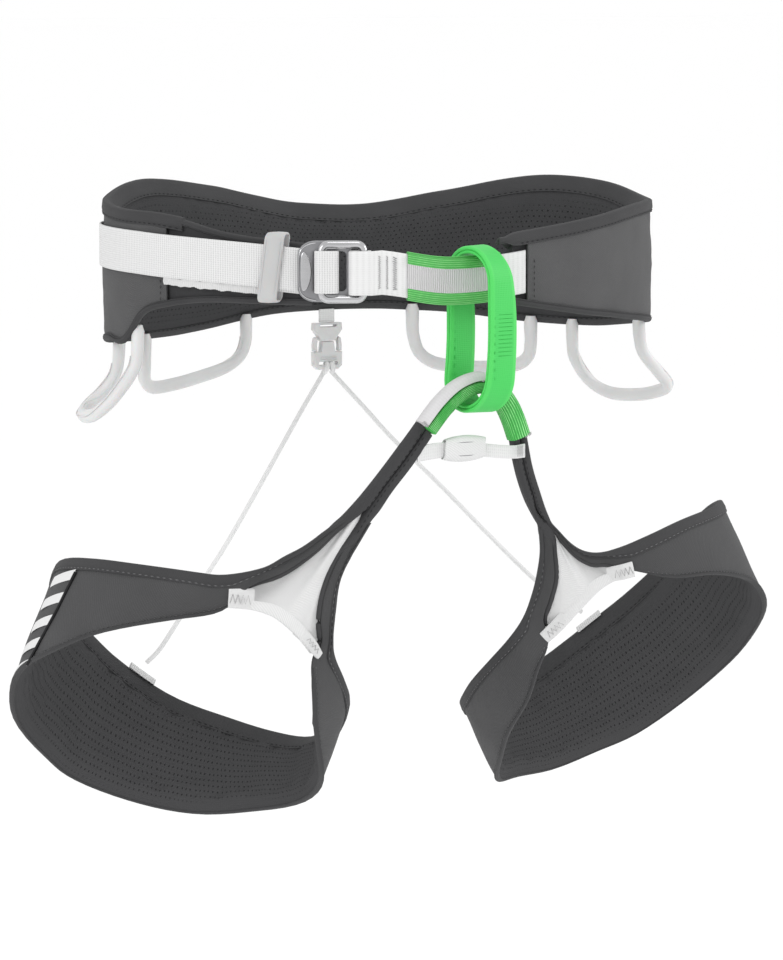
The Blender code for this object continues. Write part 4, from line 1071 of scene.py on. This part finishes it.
def inset_row(row, top_cut, low_cut):
    """A row of both edges, moved in by a distance at each."""
    top, low = np.array(row[:2]), np.array(row[2:])
    step = (low - top) * THIGH_SCALE
    step = step / np.linalg.norm(step) / THIGH_SCALE
    return (*(top + step * top_cut), *(low - step * low_cut))


def row_span(row):
    return math.hypot((row[2] - row[0]) * math.radians(1) * THIGH_RADIUS, row[3] - row[1])


def leg_inner(span, drop):
    """Depth of the leg loop's inner side at a distance from its upper edge."""
    return min(taper(drop, .012, .0038, LEG_LINER_IN), taper(span - drop, .009, .0026, LEG_LINER_IN))


def leg_line(row, cut):
    """16 places down the leg loop's width, from a cut below its upper edge to just above the lower one."""
    top_angle, top, low_angle, low = inset_row(row, cut, .0006)
    return list(zip(lengths(top_angle, low_angle, 16), lengths(top, low, 16)))


def leg_shell(label, side, rows):
    grid = []
    for row in rows:
        line = leg_line(row, min(.0018, row_span(row) * .2))
        ring = []
        for k, (a, h) in enumerate(line):
            crease = ripple(thigh_point(side, a, h, 0), .020, .0007)
            ring.append(thigh_point(side, a, h, max(.0001, .0010 - .0006 * crown(k / 15) + crease)))
        grid.append(ring + [thigh_point(side, *line[k], LEG_SHELL_IN) for k in (15, 8, 0)])
    patch(label + "_shell", grid, "leg_shell", LEGS[side], [label + "_outer_shell"],
          ring=True)


def leg_padding(label, side, rows):
    pairs = []
    for row in rows:
        span = row_span(row)
        cut = min(.0016, span * .2)
        line = leg_line(row, cut)
        inner = []
        for k, (a, h) in enumerate(line):
            wave = ripple(thigh_point(side, a, h, 0), .028, .0008)
            depth = leg_inner(span, cut + (span - cut - .0006) * k / 15)
            inner.append(thigh_point(side, a, h, max(.0026, depth - .0005 + (.0008 + wave) * crown(k / 15))))
        pairs.append(([thigh_point(side, *line[k], .0021) for k in (15, 12, 9, 6, 3, 0)], inner))
    padding(label + "_padding", pairs, 16, "leg_lining", LEGS[side],
            [label + "_foam_pad", label + "_mesh_liner"])


def leg_upper_binding(label, side, rows):
    """Folded tape over the upper edge, stitched through both flaps."""
    grid, seams = [], {"out": ([], []), "in": ([], [])}
    for row in rows:
        span = row_span(row)
        flap, reach = min(FLAP_OUT, span * .42), min(FLAP_IN, span * .46)
        ring = []
        for depth, drop in binding_profile(0, .0036, lambda d: leg_inner(span, d), flap, reach):
            at = inset_row(row, drop, 0)[:2]
            dent = ripple(thigh_point(side, *at, depth), .006, .00014)
            ring.append(thigh_point(side, *at, depth + dent))
        grid.append(ring)
        for where, drop, depth, sign in (("out", flap - .0012, .0002, 1),
                                         ("in", reach * .88, leg_inner(span, reach * .88) + .0001, -1)):
            at = inset_row(row, drop, 0)[:2]
            seams[where][0].append(thigh_point(side, *at, depth))
            seams[where][1].append(thigh_out(side, *at) * sign)
    patch(f"{label}_upper_roll", grid, "binding", LEGS[side], [label + "_upper_binding"],
          ring=True)
    for where, finish in (("out", "thread_mid"), ("in", "thread")):
        spots = stitch_spots(*seams[where], STITCH_PITCH)
        stitches(f"{label}_upper_seam_{where}", spots, finish, LEGS[side])


def leg_hole_edge(label, side, rows):
    """Thin corded edge round the thigh hole, with a light edge seam beside it."""
    grid, places, outs = [], [], []
    for i, row in enumerate(rows):
        row = (*row[2:], *row[:2])
        fade = min(1, .35 + min(i, len(rows) - 1 - i) / 5)
        grid.append([thigh_point(side, *inset_row(row, .0007 + (drop - .0007) * fade, 0)[:2],
                                 .0014 + (depth - .0014) * fade) for depth, drop in piping_profile(.0028)])
        at = inset_row(row, .0020, 0)[:2]
        places.append(thigh_point(side, *at, .0005))
        outs.append(thigh_out(side, *at))
    patch(label + "_hole_edge", grid, "binding", LEGS[side], [label + "_hole_binding"], ring=True)
    spots = stitch_spots(places, outs, .0028)
    stitches(label + "_hole_seam", spots, "thread_mid", LEGS[side], .0016, .0004)


def arm_piping(label, side, rows, first, last):
    """Cord of dark tape along the gusset's edge of both arms."""
    for word, part in (("front", rows[last + 2:]), ("inner", rows[:first - 2][::-1])):
        path = [thigh_point(side, row[2], row[3], .0036) for row in part]
        radii = [.0019 * min(1, .30 + k / 6) for k in range(len(path))]
        tube(f"{label}_{word}_arm_piping", path, radii, "binding", LEGS[side], sides=12)


def leg_stem(label, side, rows, control):
    """Padded strap up to the arch: each arm's band runs on, stitched along the groove between the two."""
    spots = []
    for word, pick, end, after in (("outer", 0, control[-1], control[-2]),
                                   ("inner", 1, control[0], control[1])):
        knots = []
        for pair in rows:
            edges = [Vector((side * p[0], p[1], p[2])) for p in pair]
            across = (edges[0] - edges[1]).normalized()
            back = (AWAY - across * across.y).normalized()
            knots.append((edges[pick], (edges[0] + edges[1]) / 2, back, STEM_THICK))
        lead = (knots[0][0] - knots[1][0]).normalized() * .0022
        knots.insert(0, (knots[0][0] + lead, knots[0][1] + lead, *knots[0][2:]))
        for share, grow, sink, thick in STEM_ENDS[side, word]:
            a, h, low_a, low_h = (p + (q - p) * share for p, q in zip(end, after))
            far, near = thigh_point(side, a, h, sink), thigh_point(side, low_a, low_h, sink)
            across = (far - near).normalized()
            knots.append((far + across * grow, near - across * .0014, -thigh_out(side, a, h), thick))
        run = [0.0]
        for old, new in zip(knots, knots[1:]):
            run.append(run[-1] + ((new[0] - old[0]).length + (new[1] - old[1]).length) / 2)
        places = [(at, *far, *near, *back, thick) for at, (far, near, back, thick) in zip(run, knots)]
        grid, seam, outs = [], [], []
        for at in np.linspace(0, run[-1], 49):
            values = curve_at(places, at)
            far, near, back, thick = Vector(values[:3]), Vector(values[3:6]), Vector(values[6:9]), values[9]
            grid.append([far + (near - far) * a + back.normalized() * thick * d for a, d in STEM_PROFILE])
            seam.append(far + (near - far) * .80 + back * .00012)
            outs.append(-back.normalized())
        patch(f"{label}_stem_{word}", grid, "binding", LEGS[side],
              [label + "_stem"] if word == "outer" else (), ring=True)
        spots += stitch_spots(seam[3:-9], outs[3:-9], STITCH_PITCH)
    stitches(label + "_stem_seams", spots, "thread", LEGS[side])


def gusset(label, side, control):
    """Triangular stretch panel with a hem along the thigh hole."""
    first, last = HOLE_ROWS[side]
    turns = [(row[2] if row[2] < -300 else row[2] - 360, row[3]) for row in control[last:] + control[:first]]
    seam, count = len(control) - last, 61
    behind, ahead = turns[seam - 1:seam + 1]
    turns.insert(seam, ((behind[0] + ahead[0]) / 2, max(behind[1], ahead[1]) + GUSSET_RISE[side]))
    edge, hole = row_curve(turns, count), row_curve(GUSSET_ARC[side], count)
    grid, hem, reaches = [], [], []
    for i, (top, low) in enumerate(zip(edge, hole)):
        step = (low - top) * THIGH_SCALE
        reach = np.linalg.norm(step)
        reaches.append(reach)
        start = top + step / reach / THIGH_SCALE * .0010
        share = i / (count - 1)
        forward = .0026 * math.exp(-((share - seam / (len(turns) - 1)) / .06) ** 2)
        ring = []
        for k in range(11):
            a, h = start + (low - start) * k / 10
            crease = .0007 * math.exp(-((share - .42 - .02 * k / 10) / .05) ** 2) * crown(k / 10, 1)
            fold = forward * (1 - k / 10) + crease + ripple(thigh_point(side, a, h, 0), .012, .0004)
            ring.append(thigh_point(side, a, h, .0031 - fold))
        for k in (10, 5, 0):
            ring.append(thigh_point(side, *(start + (low - start) * k / 10), .0042 - forward * (1 - k / 10)))
        grid.append(ring)
        hem.append([thigh_point(side, *(low - step / reach / THIGH_SCALE * min(drop, reach * .9)), depth)
                    for drop, depth in ((.0002, .0032), (0, .0026), (.0008, .0022), (.0030, .0023),
                                        (.0058, .0025), (.0066, .0030), (.0066, .0036), (.0030, .0046),
                                        (.0002, .0042))])
    panel = patch(label + "_gusset_panel", grid, "gusset", LEGS[side], [label + "_gusset"],
                  ring=True)
    patch(label + "_gusset_hem", hem, "hem", LEGS[side], ring=True)
    length = sum((grid[i][5] - grid[i + 1][5]).length for i in range(count - 1))
    gusset_tips(label, side, edge, hole)


def gusset_tips(label, side, edge, hole):
    """Pointed ends of the gusset, wrapped over the arms, with their bar-tacks."""
    tacks = []
    for word, i, way in (("front", 0, -1), ("inner", len(hole) - 1, 1)):
        low, (near, far) = hole[i], GUSSET_TIPS[side, word]
        drift = (low - hole[i - way * 9]) * THIGH_SCALE
        drift = drift / np.linalg.norm(drift)
        rise = np.array((-drift[1], drift[0]))
        if np.dot(rise, (edge[i - way * 12] - hole[i - way * 12]) * THIGH_SCALE) < 0:
            rise = -rise
        tip = []
        for u in np.linspace(-.0150, .0010 if word == "front" else .0032, 7):
            sink = .0046 * (float(np.clip(-.0035 - u, 0, .0115)) / .0115) ** 1.3
            wide = near + (far - near) * (u + .015) / .016
            tip.append([thigh_point(side, *(low + (drift * u + rise * v * wide) / THIGH_SCALE), depth + sink)
                        for v, depth in ((-.03, .0016), (-.03, -.0004), (.25, -.0007), (.60, -.0007),
                                         (.92, -.0006), (1, -.0002), (1, .0012))])
        patch(f"{label}_gusset_tip_{word}", tip, "gusset", LEGS[side], ring=True)
        steps = [drift * (-.0102 + .0013 * k) + rise * far * (.22 + .50 * (k % 2)) for k in range(9)]
        tacks.append([thigh_point(side, *(low + step / THIGH_SCALE), -.0008) for step in steps])
    bars(label + "_gusset_tacks", tacks, .00018, "thread_pale", LEGS[side])


def riser_anchor(label, side, rows):
    """Webbing tab on the back edge, with a fold over the cord."""
    knots = sorted(row[:2] for row in rows)
    grid = []
    for a in np.linspace(TAB_ANGLES[side] - 5.5, TAB_ANGLES[side] + 5.5, 7):
        h = curve_at(knots, a)[0]
        grid.append([thigh_point(side, a, h + rise, depth) for rise, depth in
                     ((0, .0050), (.0014, .0054), (.0026, .0050), (.0031, .0040), (.0026, .0028),
                      (.0014, .0022), (0, .0024))])
    patch(label + "_cord_tab", grid, "strap", LEGS[side], [label + "_riser_anchor"],
          ring=True)


def side_stripes(rows):
    """Side seam of the wearer's right leg loop, with slanted stripes running forward from it."""
    line = row_curve(SIDE_SEAM, 16)
    places = [thigh_point(-1, a, h, .00005) for a, h in line]
    outs = [thigh_out(-1, a, h) for a, h in line]
    bars("right_leg_side_piping", [[p + o * .0001 for p, o in zip(places, outs)]], .0008, "thread", LEGS[-1])
    spots = stitch_spots(places, outs, .0030)
    stitches("right_leg_side_seam", spots, "thread_grey", LEGS[-1])
    bm = bmesh.new()
    bm.loops.layers.uv.new("metres")
    bm.loops.layers.uv.new("share")
    edge = sorted(row[2:] for row in rows)
    seam = [(-.04, -268), *((h, a) for a, h in SIDE_SEAM[::-1]), (.05, -284)]
    for n in range(5):
        grid = []
        for share in lengths(0, 1, 9):
            row = []
            for j in range(4):
                h = .0355 - .0125 * n - .0058 * j / 3 - .0052 * share
                a = curve_at(seam, h)[0] + .6 + 15.5 * share
                row.append(bm.verts.new(thigh_point(-1, a, max(h, curve_at(edge, a)[0] + .0010),
                                                    -.0001 if 0 < j < 3 else .0001)))
            grid.append(row)
        for one, two in zip(grid, grid[1:]):
            for j in range(3):
                bm.faces.new((one[j], one[j + 1], two[j + 1], two[j]))
    finish_mesh("right_leg_side_stripes", bm, "strap", LEGS[-1], ())


def leg_loop(side):
    label, control, count = SIDE_NAMES[side] + "_leg", LEG_ROWS[side], 121
    rows = row_curve(control, count)
    first, last = (int(round(at / (len(control) - 1) * (count - 1))) for at in (5.2, HOLE_ROWS[side][1] - .5))
    leg_shell(label, side, rows)
    leg_padding(label, side, rows)
    leg_upper_binding(label, side, rows)
    leg_hole_edge(label, side, rows[first:last + 1])
    arm_piping(label, side, rows, first, last)
    leg_stem(label, side, STEM_ROWS[side], control)
    gusset(label, side, control)
    riser_anchor(label, side, control)


# ---- gear loops and rear riser --------------------------------------------------------------------

def gear_path(first, last, drop, flare, count=61):
    tops = [belt_point(a, GEAR_DEPTH, belt_low(a) - GEAR_TUBE / 2 - .0006) for a in (first, last)]
    outs = [belt_out(first), belt_out(last)]
    knots = []
    for share, sink, out in ((0, 0, 0), (.01, .38, .10), (.07, .76, .62), (.20, .97, .98), (.42, 1.0, 1.0),
                             (.64, .95, .98), (.86, .84, .86), (.97, .62, .48), (1.0, .32, .10), (1, 0, 0)):
        base = tops[0].lerp(tops[1], share)
        bow = (belt_point(first + (last - first) * share, GEAR_DEPTH, base.z) - base) * .8
        knots.append(base + bow + outs[0].lerp(outs[1], share) * flare * out - UP * drop * sink)
    return [Vector(p) for p in row_curve(knots, count)]


def gear_loop(label, size):
    name, path = "gear_loop_" + label, gear_path(*size)
    path = [*(path[0] + UP * lift for lift in (.0078, .0045)), *path[1:-1],
            *(path[-1] + UP * lift for lift in (.0045, .0078))]
    middle, last = (path[0] + path[-1]) / 2, len(path) - 1
    out = Vector((middle.x, middle.y, 0)).normalized()
    ends = [min(i, last - i) for i in range(last + 1)]
    radii = [GEAR_TUBE / 2 * (1 + .12 * math.exp(-end / 4) if end else .76) for end in ends]
    tube(name + "_tube", path, radii, "plastic", name, [name], sides=18, up=out, squash=.88)
    ridge, groove = [], []
    for i in range(5, last - 4):
        along = (path[i + 1] - path[i - 1]).normalized()
        side = along.cross(out).normalized()
        lift = side.cross(along).normalized()
        face = -lift if lift.dot(out) < 0 else lift
        ridge.append(path[i] + face * (radii[i] + .00002))
        groove.append(path[i] + side * (radii[i] - .0001))
    bars(name + "_ridge", [ridge, groove], .00032, "plastic", name)


def riser():
    x, y = RISER_X, RISER_Y
    rows = [[Vector((x + half * u, y + deep * v, z)) for u, v in
             ((1, 0), (.94, -.8), (.5, -1), (0, -.8), (-.5, -1), (-.94, -.8), (-1, 0), (-.94, .8), (0, 1),
              (.94, .8))] for z, half, deep in ((-.0366, .0046, .0007), (-.0360, .0048, .0010),
                                                (-.0345, .0048, .0008), (-.0306, .0048, .0008),
                                                (-.0293, .0046, .0007))]
    patch("riser_webbing_tab", rows, "elastic", BELT, ["riser_tab"], ring=True)

    def place(u, z, n):
        return Vector((x + u, y + n, z))
    socket = [(-.0083, -.0369), (.0083, -.0369), (.0086, -.0406), (.0060, -.0441), (.0044, -.0468),
              (-.0044, -.0468), (-.0060, -.0441), (-.0086, -.0406)]
    plug = [(-.0086, -.0529), (-.0042, -.0529), (-.0036, -.0473), (.0036, -.0473), (.0042, -.0529),
            (.0086, -.0529), (.0084, -.0606), (.0060, -.0628), (-.0060, -.0628), (-.0084, -.0606)]
    slot = rounded_box(-.0050, .0050, -.0391, -.0377, .0006, 4)
    hole = rounded_box(-.0058, .0058, -.0603, -.0584, .0008, 4)
    for name, outlines in (("socket", [socket, slot]), ("plug", [plug, hole])):
        plate("riser_" + name, outlines, .0026, .0006, place, "clip", BELT,
              ["riser_clip_" + name])
    prong = [(.0063, -.0525), (.0085, -.0525), (.0087, -.0491), (.0080, -.0454), (.0068, -.0446),
             (.0062, -.0466), (.0066, -.0496)]
    ribs = [[place(u, z, n) for u in (-.0048, 0, .0048)]
            for z in (-.0556, -.0566, -.0576) for n in (-.0027, .0027)]
    bars("riser_plug_ribs", ribs, .0003, "clip", BELT)
    for side, word in SIDE_NAMES.items():
        plate(f"riser_prong_arm_{word}", [[(side * u, z) for u, z in prong]], .0018, .0004, place,
              "clip", f"riser_prong_{word}", [f"riser_prong_{word}"])
        end = CORDS[side][0]
        path = [end] + [(end[0] - side * aside, y - depth, z) for aside, depth, z in
                        ((.0003, .0012, -.0637), (.0006, .0027, -.0622), (.0009, .0029, -.0607),
                         (.0012, .0018, -.0596), (.0012, .0002, -.0593))]
        tube(f"riser_cord_hitch_{word}", [Vector(p) for p in row_curve(path, 19)], CORD_DIAMETER / 2 + .0002,
             "cord", BELT, sides=10, up=RIGHT)


def riser_cord(side):
    route, name = [Vector(p) for p in row_curve(CORDS[side], 49)], "riser_cord_" + SIDE_NAMES[side]
    piece = tube(name + "_line", route, CORD_DIAMETER / 2, "cord", None, [name], sides=10,
                 up=AWAY)
    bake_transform(piece)


# ---- scene ----------------------------------------------------------------------------------------

def lamp(name, place, aim, size, power):
    light = bpy.data.lights.new(name, "AREA")
    light.shape, light.size, light.energy = "DISK", size, power
    holder = bpy.data.objects.new(name, light)
    holder.location = place
    holder.rotation_euler = (Vector(aim) - Vector(place)).to_track_quat("-Z", "Y").to_euler()
    bpy.context.scene.collection.objects.link(holder)


def studio():
    """Camera, pale floor, white surroundings and soft lights."""
    scene, aim = bpy.context.scene, Vector((0, 0, -.114))
    azimuth, elevation = math.radians(CAMERA_AZIMUTH), math.radians(CAMERA_ELEVATION)
    back = Vector((math.sin(azimuth) * math.cos(elevation), -math.cos(azimuth) * math.cos(elevation),
                   math.sin(elevation)))
    camera = bpy.data.objects.new("camera", bpy.data.cameras.new("camera"))
    camera.data.lens, camera.data.sensor_width, camera.data.clip_end = CAMERA_LENS, 36, 400
    camera.location = aim + back * CAMERA_DISTANCE
    camera.rotation_euler = (-back).to_track_quat("-Z", "Y").to_euler()
    floor_mesh = bpy.data.meshes.new("floor")
    corners = [(x * FLOOR_HALF, y * FLOOR_HALF, FLOOR_Z) for x, y in ((-1, -1), (1, -1), (1, 1), (-1, 1))]
    floor_mesh.from_pydata(corners, [], [(0, 1, 2, 3)])
    floor = bpy.data.objects.new("floor", floor_mesh)
    pale = bpy.data.materials.new("floor_white")
    world = bpy.data.worlds.new("studio")
    for holder, kind, values in ((pale, "Principled BSDF", {"Base Color": (1, 1, 1, 1), "Roughness": .9}),
                                 (world, "Background", {"Color": (1, 1, 1, 1), "Strength": 1.0})):
        holder.use_nodes = True
        for socket, value in values.items():
            holder.node_tree.nodes[kind].inputs[socket].default_value = value
    floor_mesh.materials.append(pale)
    for thing in (camera, floor):
        scene.collection.objects.link(thing)
    scene.camera, scene.world = camera, world
    scene.view_settings.view_transform = "Standard"
    lamp("left_box", (-2.3, -1.0, .8), aim, 1.3, 17)
    lamp("right_box", (2.3, -1.2, .9), aim, 1.3, 21)
    lamp("top_box", (0, -.9, 2.2), aim, 1.2, 7)


studio()
riser_cord(-1)
riser_cord(1)
waist_shell()
waist_padding()
waist_roll("top", 62.5, 355.4, belt_top, 1, FLAP_OUT, .0046, node="waist_top_binding")
waist_roll("tongue_top", TONGUE_END, 64.0, belt_top, 1, .0034, .0034, low=.0009)
waist_roll("bottom", TONGUE_END, PAD_LEFT, belt_low, -1, .0036, .0036, node="waist_bottom_binding")
waist_hems()
waist_straps()
strap_turn()
tie_in_strap()
protector()
buckle()
keeper()
belay_loop()
arch()
cross_strap()
cross_slider()
leg_loop(-1)
leg_loop(1)
side_stripes(LEG_ROWS[-1])
for gear_name, gear_size in GEAR_LOOPS.items():
    gear_loop(gear_name, gear_size)
riser()
